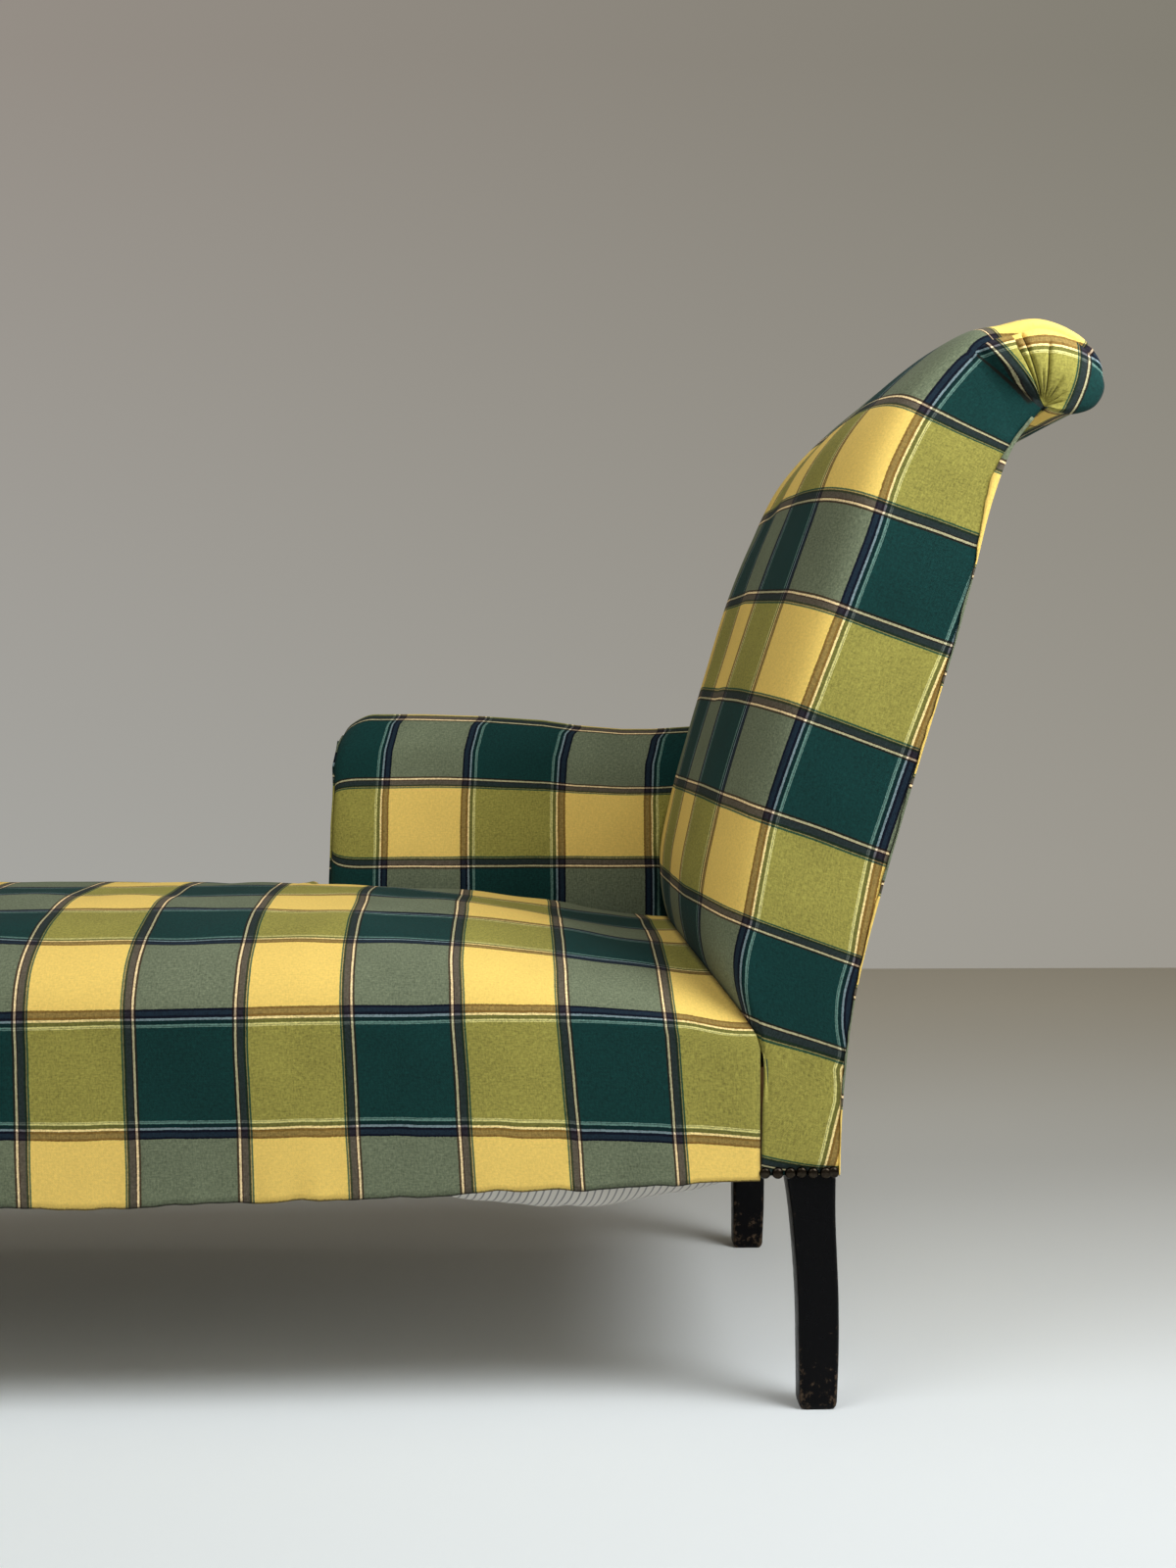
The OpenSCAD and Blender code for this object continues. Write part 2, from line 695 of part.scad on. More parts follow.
module tacking_tenon(extra) {
    z = arm_base + tack_height / 2;
    for (x = [stump_x + stump_depth, post_face(z)])
        translate([x - cross_tenon - extra, frame_y + side_rail_y - tenon_thickness / 2 - extra,
            z - tack_height / 4 - extra])
            cube([2 * (cross_tenon + extra), tenon_thickness + 2 * extra, tack_height / 2 + 2 * extra]);
}

module arm_top_rail() {
    r = arm_wood / 2;
    z = arm_rail_top - r;
    x = post_face(z + r);
    color("peru")
        difference() {
            union() {
                intersection() {
                    translate([stump_x, arm_outer - arm_wood, z - r])
                        cube([x - stump_x + r, arm_wood, arm_wood]);
                    union() {
                        translate([stump_x, arm_outer - arm_wood, z - r])
                            cube([x - stump_x + r, arm_wood, r]);
                        translate([stump_x, arm_outer - r, z])
                            rotate([0, 90, 0])
                                cylinder(h = x - stump_x + r, r = r);
                    }
                    across(arm_outer - arm_wood - overrun, arm_outer + overrun,
                        [[stump_x, z - r], [post_face(z - r) - joint_clearance, z - r],
                            [post_face(z + r) - joint_clearance, z + r], [stump_x, z + r]]);
                }
                arm_rail_tenon(0);
            }
            stump_dowels(joint_clearance);
        }
}

module arm_tacking_rail() {
    x0 = stump_x + stump_depth;
    low = frame_y + side_rail_y - rail_thickness / 2;
    color("peru")
        union() {
            across(low, low + rail_thickness, [[x0, arm_base], [post_face(arm_base) - joint_clearance, arm_base],
                [post_face(arm_base + tack_height) - joint_clearance, arm_base + tack_height],
                [x0, arm_base + tack_height]]);
            tacking_tenon(0);
        }
}

// The back's stuffing and cloth are cut to let the arm's rails through to the post
module arm_cuts() {
    x0 = corner_at(post_start_rows + 1)[0] - side_depth;
    for (box = [[arm_outer - arm_wood, arm_outer, arm_rail_top - arm_wood, arm_rail_top],
            [frame_y + half_rail - rail_thickness, frame_y + half_rail, arm_base, arm_base + tack_height]])
        translate([x0, box[0] - soft_gap / 2, box[2] - soft_gap / 2])
            cube([post_face(arm_rail_top) + overrun - x0, box[1] - box[0] + soft_gap, box[3] - box[2] + soft_gap]);
}

// The outside of the arm is a flat cloth from under the roll to the rail's lower edge
module outside_arm_panel() {
    top = arm_section(arm_columns / arm_steps)[1] - skin;
    x0 = notch_x + notch_step + skin;
    share = skin_share(arm_outer + soft_gap);
    edge = [for (u = [post_start_rows + 0.3:0.5:first_scroll - 4])
        let (p = skin_at(u, share)) if (p[1] < top) [min(p[0] - crevice_gap, crease_x), p[1]]];
    color("darkolivegreen")
        across(arm_outer + soft_gap, arm_outer + skin,
            concat([[x0, leg_height], [crease_x, leg_height]], edge,
                [[front_x(arm_outer + soft_gap, top) - crevice_gap, top], [x0, top]]));
}

// Webbing under the rails
spring_span_x = rail_to - head_fall - rail_from;
spring_step_x = spring_span_x / spring_columns;
spring_step_y = 2 * (half_rail - rail_thickness) / spring_rows;
function spring_x(c) = rail_from + spring_step_x * (c + 0.5);
function spring_y(r) = frame_y + spring_step_y * (r - (spring_rows - 1) / 2);
web_land = 18;

module webbing_across() {
    color("tan")
        for (c = [0:spring_columns - 1])
            translate([spring_x(c) - web_width / 2, frame_y - half_rail + rail_thickness - web_land, leg_height - web_t])
                cube([web_width, 2 * (half_rail - rail_thickness + web_land), web_t]);
}

module webbing_along() {
    x0 = foot_rail_x + rail_thickness / 2 - web_land;
    x1 = head_rail_x - rail_thickness / 2 + web_land;
    color("tan")
        for (r = [0:spring_rows - 1])
            translate([x0, spring_y(r) - web_width / 2, leg_height - 2 * web_t])
                cube([x1 - x0, web_width, web_t]);
}

// Hourglass springs that stand where the webbing crosses
waist_share = 0.62;
ring_steps = 8;
function spring_path(c, r) = [for (k = [0:spring_turns * ring_steps])
    let (t = k / (spring_turns * ring_steps), turn = 360 * k / ring_steps)
    let (radius = (spring_d - wire_d) / 2 * lerp(waist_share, 1, abs(2 * t - 1)))
    [spring_x(c) + radius * cos(turn), spring_y(r) + radius * sin(turn),
        leg_height + wire_d / 2 + t * (spring_height - wire_d)]];

module seat_springs() {
    color("slategray")
        for (c = [0:spring_columns - 1]) for (r = [0:spring_rows - 1])
            tube(spring_path(c, r), wire_d, 4);
}

// Twine lashed over the springs and tied off on the rails
module strand(a, b) {
    d = b - a;
    length = norm(d);
    translate(a)
        rotate([0, acos(d[2] / length), atan2(d[1], d[0])])
            cylinder(h = length, r = twine_d / 2);
}

module lashing_twine() {
    z_along = leg_height + spring_height + twine_d / 2;
    z_across = z_along + twine_d;
    tie = rail_thickness / 3;
    color("khaki") {
        for (r = [0:spring_rows - 1]) {
            x0 = spring_x(0) - spring_d / 2;
            x1 = spring_x(spring_columns - 1) + spring_d / 2;
            strand([x0, spring_y(r), z_along], [x1, spring_y(r), z_along]);
            strand([foot_rail_x, spring_y(r), rail_top + twine_d / 2], [x0 + twine_d / 4, spring_y(r), z_along]);
            strand([spring_x(spring_columns - 1) - spring_d * waist_share / 4, spring_y(r), rail_top + twine_d / 2],
                [head_rail_x, spring_y(r), rail_top + twine_d / 2]);
        }
        for (c = [0:spring_columns - 1]) {
            y0 = spring_y(0) - spring_d / 2;
            y1 = spring_y(spring_rows - 1) + spring_d / 2;
            low = frame_y - half_rail + rail_thickness - tie;
            high = frame_y + half_rail - rail_thickness + tie;
            strand([spring_x(c), y0, z_across], [spring_x(c), y1, z_across]);
            strand([spring_x(c), low, rail_top + twine_d / 2], [spring_x(c), y0 + twine_d / 4, z_across]);
            strand([spring_x(c), high, rail_top + twine_d / 2], [spring_x(c), y1 - twine_d / 4, z_across]);
        }
    }
}

// Height of the spring canvas: full over the springs, falling to the rails all round
function edge_rise(d) = power(1 - power(1 - bound(d / platform_run, 0, 1), platform_power), 1 / platform_power);
function platform(x, y) =
    let (w = bound(abs(y - frame_y) / half_rail, 0, 1))
    platform_base + platform_rise * edge_rise(x - foot_rail_x) * edge_rise(rail_to - head_fall - x)
        * power(1 - power(w, platform_power), 1 / platform_power);

canvas_edge_shares = [0, 0.02, 0.08, 0.25, 0.6, 1];
canvas_cols = 12;
module spring_canvas() {
    x0 = rail_from + soft_gap * 4;
    x1 = rail_to - head_fall;
    stations = concat([foot_rail_x], [for (s = canvas_edge_shares) x0 + s * platform_run],
        [for (s = [0.25, 0.5, 0.75]) lerp(x0 + platform_run, x1 - platform_run, s)],
        [for (k = [len(canvas_edge_shares) - 1:-1:0]) x1 - canvas_edge_shares[k] * platform_run],
        [rail_to - 6 * overrun, rail_to - overrun, head_rail_x]);
    function half(x) = x < x0 || x > rail_to - 2 * overrun ? half_frame - post_width - overrun : half_rail - rail_thickness / 2;
    function spread(x) = [for (j = [0:canvas_cols]) frame_y - half(x) * cos(180 * j / canvas_cols)];
    over = [for (x = stations) [for (y = spread(x)) [x, y, platform(x, y)]]];
    under = [for (row = over) [for (p = row) p - [0, 0, canvas_t]]];
    color("burlywood")
        difference() {
            between(over, under);
            translate([stump_x - soft_gap, arm_outer - arm_wood - soft_gap, rail_top - overrun])
                cube([stump_depth + 2 * soft_gap, arm_wood, platform_rise + 3 * overrun + twine_d]);
        }
}

// The seat's outer form. Columns run from the near hem over the crown to the far hem, or to the
// crevice beside the arm; rows run from the foot end's hem to the crevice in front of the back.
seat_side_columns = 3;
seat_top_columns = 16;
seat_columns = 2 * seat_side_columns + seat_top_columns;
seat_fullness = 0.8;
arm_notch = 32;
arm_shoulder = 14;
foot_folds = [1, 0.5];
foot_angles = [0, 30, 60, 90];
foot_spread_share = 0.98;
foot_nick = 2;
function corner_nick(j, f) = j == 0 || j == seat_columns ? foot_nick * 4 * f * (1 - f) : 0;
crevice_inset = 24;
notch_step = 1.2;
seat_x_shares = [0.25, 0.5, 0.75, 0.92];
tail_shares = [0.2, 0.45, 0.66, 0.82, 0.94];
pinch_length = 60;

function hem_z(x) = let (s = bound((x - foot_x) / (rail_to - foot_x), 0, 1))
    leg_height - soft_gap - hem_droop * 4 * s * (1 - s);
notch_x = arm_x - arm_notch / 2;
crease_x = corner_line[0][0] - 10 * soft_gap;
function lift_share(x) = x < notch_x ? 0 : 1;
function arm_share(x) = ease((x - notch_x - notch_step) / (arm_notch / 2 - skin - notch_step));
function crown_z(x) = seat_height - crown_drop * power(bound(1 - (rail_to - crevice_step - x) / crown_fall, 0, 1), 2.3);
crevice_step = 58;
crevice_low_rows = 2.05;
crevice_high_rows = 3.05;
crevice_low = corner_at(crevice_low_rows)[1];

// One section of the seat at x, drawn in by the foot end's rounding: inset moves it inwards
function seat_section(x, draw, j, inset) =
    let (k = j - seat_side_columns, t = bound(k / seat_top_columns, 0, 1), a = 180 * t)
    let (arm = arm_share(x), lift = lift_share(x), pinch = ease((x - crease_x + pinch_length) / pinch_length))
    let (half = half_frame + lerp(seat_bulge, skin, pinch) - foot_corner * draw - inset)
    let (far = lerp(half, arm_inner - frame_y - soft_gap * 3 - inset, arm))
    let (shoulder = lerp(shoulder_height, crevice_low, pinch) - inset / 2)
    let (crown = lerp(crown_z(x), shoulder_height, draw) - inset)
    let (far_shoulder = lerp(shoulder, arm_base + arm_shoulder - inset, lift), low = t < 0.5 ? shoulder : far_shoulder)
    let (y = -sign(cos(a)) * power(abs(cos(a)), seat_fullness) * (t < 0.5 ? half : far))
    let (top = low + (crown - low) * power(sin(a), seat_fullness))
    let (far_hem = lerp(hem_z(x), arm_base + cloth_t, lift))
    k < 0 ? [x, frame_y - half, lerp(hem_z(x), shoulder, j / seat_side_columns)]
        : k > seat_top_columns ? [x, frame_y + far, lerp(far_shoulder, far_hem, (k - seat_top_columns) / seat_side_columns)]
        : [x, frame_y + y, top];

// The last row lies in the crevice: on the side panel's front edge, then along the back's front
function seat_end(j, inset) =
    let (p = seat_section(crease_x, 0, j, inset), s = skin_share(p[1] - sign(p[1] - frame_y) * skin))
    let (q = skin_at(lerp(crevice_low_rows, crevice_high_rows, s), s), k = j - seat_side_columns)
    k <= 0 ? p : [min(q[0] - crevice_gap, crease_x) - inset / 2, p[1], k > seat_top_columns ? p[2] : q[1] - inset / 2];

function seat_rows(inset) =
    let (x0 = foot_x + inset, x1 = foot_x + foot_round)
    concat(
        [for (f = foot_folds) [for (j = [0:seat_columns])
            let (p = seat_section(x0, 1, j, inset))
            let (reach = (half_frame + seat_bulge - foot_corner - inset) * foot_spread_share)
            let (spread = frame_y + reach * (2 * j / seat_columns - 1))
            [x0, lerp(p[1], spread, f), lerp(p[2], hem_z(x0), f) + corner_nick(j, f)]]],
        [for (a = foot_angles) [for (j = [0:seat_columns])
            seat_section(lerp(x1, x0, cos(a)), 1 - sin(a), j, inset)]],
        [for (x = [rail_from + overrun, rail_from + 4 * overrun, for (s = seat_x_shares) lerp(x1, arm_x - arm_notch, s)])
            [for (j = [0:seat_columns]) seat_section(x, 0, j, inset)]],
        [for (x = [notch_x - notch_step, notch_x + notch_step, (notch_x + arm_x) / 2, arm_x - skin])
            [for (j = [0:seat_columns]) seat_section(x, 0, j, inset)]],
        [for (s = tail_shares) [for (j = [0:seat_columns])
            let (e = seat_end(j, inset), x = lerp(arm_x, e[0], s), p = seat_section(x, 0, j, inset))
            [x, lerp(p[1], e[1], ease(s)), lerp(p[2], e[2], power(s, 4))]]],
        [[for (j = [0:seat_columns]) seat_end(j, inset)]]);

module seat_cover() {
    color("goldenrod") between(seat_rows(0), seat_rows(cloth_t));
}

// The stuffing fills from the cover down to the spring canvas, and wraps the rails' outer faces
pad_least = 8;
foot_pinch_share = 0.04;
function pad_under(p, j) =
    let (k = j - seat_side_columns, t = bound(k / seat_top_columns, 0, 1), arm = arm_share(p[0]))
    let (edge = (p[0] < rail_from + 2 * overrun ? half_frame : half_rail) + soft_gap)
    let (far = lerp(edge, arm_inner - frame_y - crevice_inset, arm), x = max(p[0], lerp(foot_leg_x - soft_gap, p[0], foot_pinch_share)))
    let (y = -sign(cos(180 * t)) * power(abs(cos(180 * t)), 0.6) * (t < 0.5 ? edge : far))
    let (side_top = min(ceiling, (p[0] > crease_x - pinch_length ? crevice_low : shoulder_height) - pad_least))
    let (z = min(ceiling, p[2] - pad_least), past = (k - seat_top_columns) / seat_side_columns, lift = lift_share(p[0]))
    k <= 0 ? [x, frame_y - edge, lerp(leg_height, side_top, j / seat_side_columns)]
        : k < seat_top_columns ? [x, frame_y + y, z]
        : [x, frame_y + far + lift * past * crevice_inset / 2,
            lerp(lerp(side_top, ceiling, lift), lerp(leg_height, ceiling, lift), past)];
function pad_foot(p, j, f) =
    let (u = pad_under(p, j), spread = frame_y + half_rail * (2 * j / seat_columns - 1))
    [u[0], lerp(u[1], spread, f), lerp(u[2], leg_height, f) + corner_nick(j, f)];

module seat_pad() {
    over = [for (row = seat_rows(skin)) [for (p = row) [p[0], p[1], max(p[2], leg_height + soft_gap)]]];
    under = [for (i = [0:len(over) - 1]) [for (j = [0:seat_columns])
        i < len(foot_folds) ? pad_foot(over[i][j], j, foot_folds[i]) : pad_under(over[i][j], j)]];
    color("wheat") between(over, under);
}

// A thin cloth below the webbing that has sagged into bellies along its near edge
dust_t = 1;
dust_rows = 24;
dust_cols = 9;
dust_tack = 10;
belly_skew = 0.7;
belly_power = 8;
belly_fullness = 0.6;
function dust_dip(x, y, half) =
    let (w = bound((y - frame_y) / half, -1, 1), across = power(1 - power(abs(w), belly_power), belly_fullness))
    let (near = pow((1 - w) / 2, belly_skew), wave = 0.62 + 0.38 * cos(360 * (x - arm_x - arm_length / 2) / belly_pitch))
    let (ends = power(bound((x - rail_from) / belly_pitch * 2, 0, 1) * bound((rail_to - x) / belly_pitch * 4, 0, 1), 0.5))
    dust_sag * across * near * wave * ends;

module dust_cover() {
    z0 = leg_height - 2 * web_t - soft_gap;
    inner = half_frame - post_width - soft_gap * 4;
    outer = half_rail - rail_thickness + web_land;
    x_foot = foot_rail_x - dust_tack + rail_thickness / 2;
    x_leg = rail_from + soft_gap * 4;
    x_head = head_rail_x;
    stations = concat([x_foot, x_leg], [for (i = [0:dust_rows]) lerp(x_leg + web_land / 2, x_head, i / dust_rows)]);
    over = [for (i = [0:len(stations) - 1]) let (x = stations[i], half = i < 2 ? inner : outer)
        [for (j = [0:dust_cols]) let (y = frame_y - half * cos(180 * j / dust_cols)) [x, y, z0 - dust_dip(x, y, half)]]];
    under = [for (row = over) [for (p = row) p - [0, 0, dust_t]]];
    color("whitesmoke") between(over, under);
}

// Domed nails in a row along the bottom of each side panel, the last one on the rear corner
nail_z = leg_height - shank_d;
nail_start = back_x - nail_count * nail_pitch + nail_dome / 2;
module nail() {
    ball = (nail_d * nail_d / 4 + nail_dome * nail_dome) / (2 * nail_dome);
    union() {
        intersection() {
            translate([0, 0, nail_dome - ball])
                sphere(r = ball);
            cylinder(h = nail_dome + overrun, r = nail_d / 2);
        }
        nail_shank(0);
    }
}

module nail_row(side) {
    for (k = [0:nail_count - 1])
        translate([nail_start + k * nail_pitch, frame_y + side * half_cover, nail_z])
            rotate([-side * 90, 0, 0])
                children();
    translate([back_x, frame_y + side * half_cover, nail_z])
        rotate([0, 0, -side * 45])
            rotate([-side * 90, 0, 0])
                children();
}

module nail_shank(extra) {
    translate([0, 0, -shank_length - extra])
        cylinder(h = shank_length + extra + nail_dome / 2, r = shank_d / 2 + extra);
}

module near_back_nails() {
    color("darkgoldenrod") nail_row(-1) nail();
}

module far_back_nails() {
    color("darkgoldenrod") nail_row(1) nail();
}

near_back_post();
far_back_post();
near_foot_leg();
far_foot_leg();
near_side_rail();
far_side_rail();
foot_rail();
head_rail();
corner_blocks();
crest_rail();
back_stay_rail();
arm_stump();
arm_top_rail();
arm_tacking_rail();
arm_dowels();
webbing_across();
webbing_along();
seat_springs();
lashing_twine();
spring_canvas();
seat_pad();
seat_cover();
dust_cover();
back_webbing();
back_canvas();
back_pad();
back_cover();
outside_back_panel();
arm_pad();
arm_cover();
arm_front_facing();
outside_arm_panel();
near_back_nails();
far_back_nails();
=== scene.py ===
import bpy
import bmesh
import numpy as np
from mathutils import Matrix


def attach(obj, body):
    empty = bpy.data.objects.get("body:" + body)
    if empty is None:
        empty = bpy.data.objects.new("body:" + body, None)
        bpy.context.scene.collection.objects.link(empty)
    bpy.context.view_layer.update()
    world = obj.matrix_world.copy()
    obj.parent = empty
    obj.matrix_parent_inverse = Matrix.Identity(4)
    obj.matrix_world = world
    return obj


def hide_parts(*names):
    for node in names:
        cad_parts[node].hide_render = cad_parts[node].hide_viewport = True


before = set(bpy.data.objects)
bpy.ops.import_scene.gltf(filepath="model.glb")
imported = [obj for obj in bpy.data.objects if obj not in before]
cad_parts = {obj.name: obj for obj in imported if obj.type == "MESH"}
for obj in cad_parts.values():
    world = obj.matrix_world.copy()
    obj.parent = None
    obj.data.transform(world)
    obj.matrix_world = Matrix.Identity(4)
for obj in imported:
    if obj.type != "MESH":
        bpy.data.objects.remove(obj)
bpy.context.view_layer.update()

# The back posts: one plank of ebonised beech on each side, sawn to a sabre leg below the seat, a square
# block where the rails are tenoned in, and a raked stile that carries the back. Polished black, and worn
# through to the brown wood on the arrises and at the foot.
middle_y = -0.012
half_frame = 0.320
post_foot = np.array([0.592, 0.200])
post_rake = np.array([0.170, 0.645])
post_depth, block_depth, rail_top = 0.044, 0.058, 0.290
post_width, foot_width, leg_depth = 0.040, 0.032, 0.042
arris_radius, foot_rub, rub_height = 0.0042, 0.0022, 0.005
gather = np.array([0.762, 0.845])
scroll_reach = np.array([0.063, 0.080])
cloth = 0.0023
# Stations up the back: lean, rise, tilt in degrees, then the depth of the side panel, of the crown in
# front of it, and how far the block has thinned to the stile
stile_shares = np.array([
    [0.000, 0.000, 0, 0.64, 0.00, 0.00], [0.006, 0.062, 8, 0.65, 0.05, 0.00], [0.024, 0.129, 17, 0.70, 0.30, 0.00],
    [0.059, 0.209, 20, 0.92, 0.68, 0.60], [0.118, 0.287, 20, 0.96, 0.91, 1.00], [0.212, 0.380, 20, 0.99, 0.95, 1.00],
    [0.329, 0.488, 20, 1.00, 0.97, 1.00], [0.447, 0.592, 20, 1.00, 0.98, 1.00], [0.559, 0.690, 20, 0.98, 1.00, 1.00],
    [0.653, 0.783, 20, 0.92, 0.97, 1.00], [0.741, 0.876, 21, 0.86, 0.85, 1.15], [0.847, 0.949, 26, 0.78, 0.62, 1.45]])
# Stations round the scroll: forward and upward reach, then where the flat end and the crest rail stop
scroll_shares = np.array([
    [-1.160, 0.825, 0.74, 0.36], [-0.556, 0.940, 0.78, 0.36], [0.000, 1.000, 0.80, 0.36], [0.556, 0.825, 0.80, 0.38],
    [0.863, 0.530, 0.80, 0.38], [1.000, 0.256, 0.80, 0.38], [0.857, 0.000, 0.78, 0.38], [0.524, -0.110, 0.74, 0.36],
    [0.214, -0.080, 0.70, 0.34]])
leg_front_shares = np.array([[0.27, 0], [0.26, 0.25], [0.235, 0.5], [0.13, 0.8], [0, 1]])
leg_rear_shares = np.array([[1.03, 0], [1.07, 0.25], [1.06, 0.5], [1.0, 0.8], [1.0, 1]])


def curve_through(points, station):
    """Smooth curve through a list of points: between two of them it is the cubic whose slope at each is
    half the step between that point's neighbours."""
    station = np.asarray(station, float)
    k = np.clip(np.floor(station).astype(int), 0, len(points) - 2)
    t = (station - k)[..., None]
    a, b, c, d = (points[np.clip(k + step, 0, len(points) - 1)] for step in (-1, 0, 1, 2))
    return (2 * b + (c - a) * t + (2 * a - 5 * b + 4 * c - d) * t ** 2 + (3 * b - a - 3 * c + d) * t ** 3) / 2


def blend_of(a, b, share):
    """The mix of a and b: a where share is 0, b where it is 1."""
    return a + (b - a) * share


def eased(share):
    """0 below 0 and 1 above 1, with the smooth step 3s^2 - 2s^3 between."""
    s = np.clip(share, 0, 1)
    return s * s * (3 - 2 * s)


tilt = np.radians(stile_shares[:, 2])
forward = np.stack([-np.cos(tilt), np.sin(tilt)], 1)
stile_line = post_foot + stile_shares[:, :2] * post_rake
scroll_line = scroll_shares[:, :2] * scroll_reach
rear_line = np.vstack([stile_line, np.tile(gather, (len(scroll_shares), 1))])
core_line = np.vstack([stile_line + blend_of(block_depth, post_depth, stile_shares[:, 5:6]) * forward,
                       gather + scroll_shares[:, 3:4] * scroll_line])
scroll_station = len(stile_shares)
last_station = len(rear_line) - 1


def rear_of_back(station):
    """Rear edge of the back's side panel at a station, held at the gather once it has reached it."""
    return np.minimum(curve_through(rear_line, station), gather)


def xyz(x, y, z):
    """Points from their three coordinates, each a number or an array, spread over one another."""
    return np.stack(np.broadcast_arrays(x, y, z), -1)


def plank_rings(front, rear, outer_y, inner_y, radius, steps=4):
    """Rounded-rectangle rings along a post. Row i runs from front[i] to rear[i] in X and Z and from
    outer_y[i] to inner_y[i] in Y, with a quarter circle of the given radius at each corner. The second
    array is 1 on an arris and 0 on the flats: the sine of twice the angle round that quarter circle."""
    span = rear - front
    length = np.linalg.norm(span, axis=1)
    along = span / length[:, None]
    half_y = (inner_y - outer_y) / 2
    turn = np.linspace(0, np.pi / 2, steps + 1)
    angle = np.concatenate([turn + quarter * np.pi / 2 for quarter in range(4)])
    side_x = np.repeat([1, -1, -1, 1], steps + 1)
    side_y = np.repeat([1, 1, -1, -1], steps + 1)
    flip = np.sign(half_y)[:, None]
    a = side_x * (length[:, None] / 2 - radius[:, None]) + radius[:, None] * np.cos(angle)
    b = flip * (side_y * (abs(half_y)[:, None] - radius[:, None]) + radius[:, None] * np.sin(angle))
    centre = (front + rear) / 2
    x = centre[:, :1] + along[:, :1] * a
    z = centre[:, 1:] + along[:, 1:] * a
    y = ((outer_y + inner_y) / 2)[:, None] + b
    arris = np.tile(np.tile(np.sin(2 * turn), 4), (len(front), 1))
    return xyz(x, y, z), arris


def mesh_piece(name, points, faces, uv=None, smooth=True, **marks):
    """A new object from an array of points and a list of faces, with its faces turned outwards. uv is one
    pair for each face corner, and each mark is one number for each point, kept as an attribute."""
    mesh = bpy.data.meshes.new(name)
    mesh.from_pydata(np.asarray(points).reshape(-1, 3).tolist(), [], faces)
    if uv is not None:
        mesh.uv_layers.new(name="cloth").data.foreach_set("uv", np.asarray(uv, np.float32).ravel())
    for mark, values in marks.items():
        mesh.attributes.new(mark, "FLOAT", "POINT").data.foreach_set("value", np.asarray(values, np.float32).ravel())
    shape = bmesh.new()
    shape.from_mesh(mesh)
    bmesh.ops.recalc_face_normals(shape, faces=shape.faces)
    shape.to_mesh(mesh)
    shape.free()
    mesh.polygons.foreach_set("use_smooth", np.full(len(mesh.polygons), smooth))
    piece = bpy.data.objects.new(name, mesh)
    bpy.context.scene.collection.objects.link(piece)
    return piece


def grid_quads(rows, columns, wrap=False, first=0):
    """Corner numbers of the quads of a grid of points stored row by row, closed round each row if wrap."""
    i, j = np.meshgrid(np.arange(rows - 1), np.arange(columns if wrap else columns - 1), indexing="ij")
    a, b = i * columns + j, i * columns + (j + 1) % columns
    return first + np.stack([a, b, b + columns, a + columns], -1).reshape(-1, 4)


def plank(name, front, rear, outer_y, inner_y, radius):
    """A closed post from its rings, with one flat face over each end."""
    rings, arris = plank_rings(front, rear, outer_y, inner_y, radius)
    rows, columns = rings.shape[:2]
    faces = grid_quads(rows, columns, wrap=True).tolist()
    faces += [list(range(columns)), list(range((rows - 1) * columns, rows * columns))]
    return mesh_piece(name, rings, faces, arris=arris)


def sabre_leg(x, flip, steps=48):
    """Front and rear lines of a sabre leg from the floor up: the shares of the leg's depth at five heights,
    joined by the smooth curve and drawn from x towards flip."""
    station = np.linspace(0, 4, steps)
    lines = [curve_through(shares, station) for shares in (leg_front_shares, leg_rear_shares)]
    return [np.stack([x + flip * line[:, 0] * leg_depth, line[:, 1] * post_foot[1]], 1) for line in lines]


def worn_post(name, front, rear, side):
    """A plank that stands on the floor: straight on its outer face, narrowing on its inner one towards the
    foot. Below rub_height each face draws in by the square of the depth, as a foot is rubbed round."""
    rub = foot_rub * np.clip(1 - front[:, 1] / rub_height, 0, 1) ** 2
    width = np.clip(blend_of(foot_width, post_width, rear[:, 1] / post_foot[1]), foot_width, post_width)
    outer_y = np.full(len(rear), middle_y + side * half_frame)
    inner_y = outer_y - side * width
    inward = np.sign(rear[0, 0] - front[0, 0]) * rub[:, None] * [1, 0]
    front, rear = front + inward, rear - inward
    radius = np.minimum(arris_radius, np.linalg.norm(rear - front, axis=1) * 0.3)
    return plank(name, front, rear, outer_y - side * rub, inner_y + side * rub, radius)


stile_steps = 90
post_x = rear_of_back(0.0)[0] - cloth * np.cos(np.radians(3))
leg_front, leg_rear = sabre_leg(post_x - leg_depth, 1)
block_front = [[post_x - block_depth, z] for z in (0.2015, 0.250, rail_top)]
block_rear = [[post_x, z] for z in (0.2015, 0.250, rail_top - 0.005)]
stile_front = curve_through(core_line, np.linspace(2.05, last_station - 6, stile_steps))
rear_tilt = np.interp(np.linspace(1, scroll_station, stile_steps), [0, 1.5, 1.6, 3, 3.1], [3, 3, 12, 12, 18])
rear_tilt = np.radians(rear_tilt)
stile_rear = rear_of_back(np.linspace(2, scroll_station, stile_steps))
stile_rear = stile_rear + cloth * np.stack([-np.cos(rear_tilt), np.sin(rear_tilt)], 1)
post_front = np.vstack([leg_front, block_front, stile_front])
post_rear = np.vstack([leg_rear, block_rear, stile_rear])
back_posts = []
for name, side in (("near_back_post", -1), ("far_back_post", 1)):
    post = worn_post(name + "_polished", post_front, post_rear, side)
    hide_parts(name)
    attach(post, "root")
    back_posts.append(post)

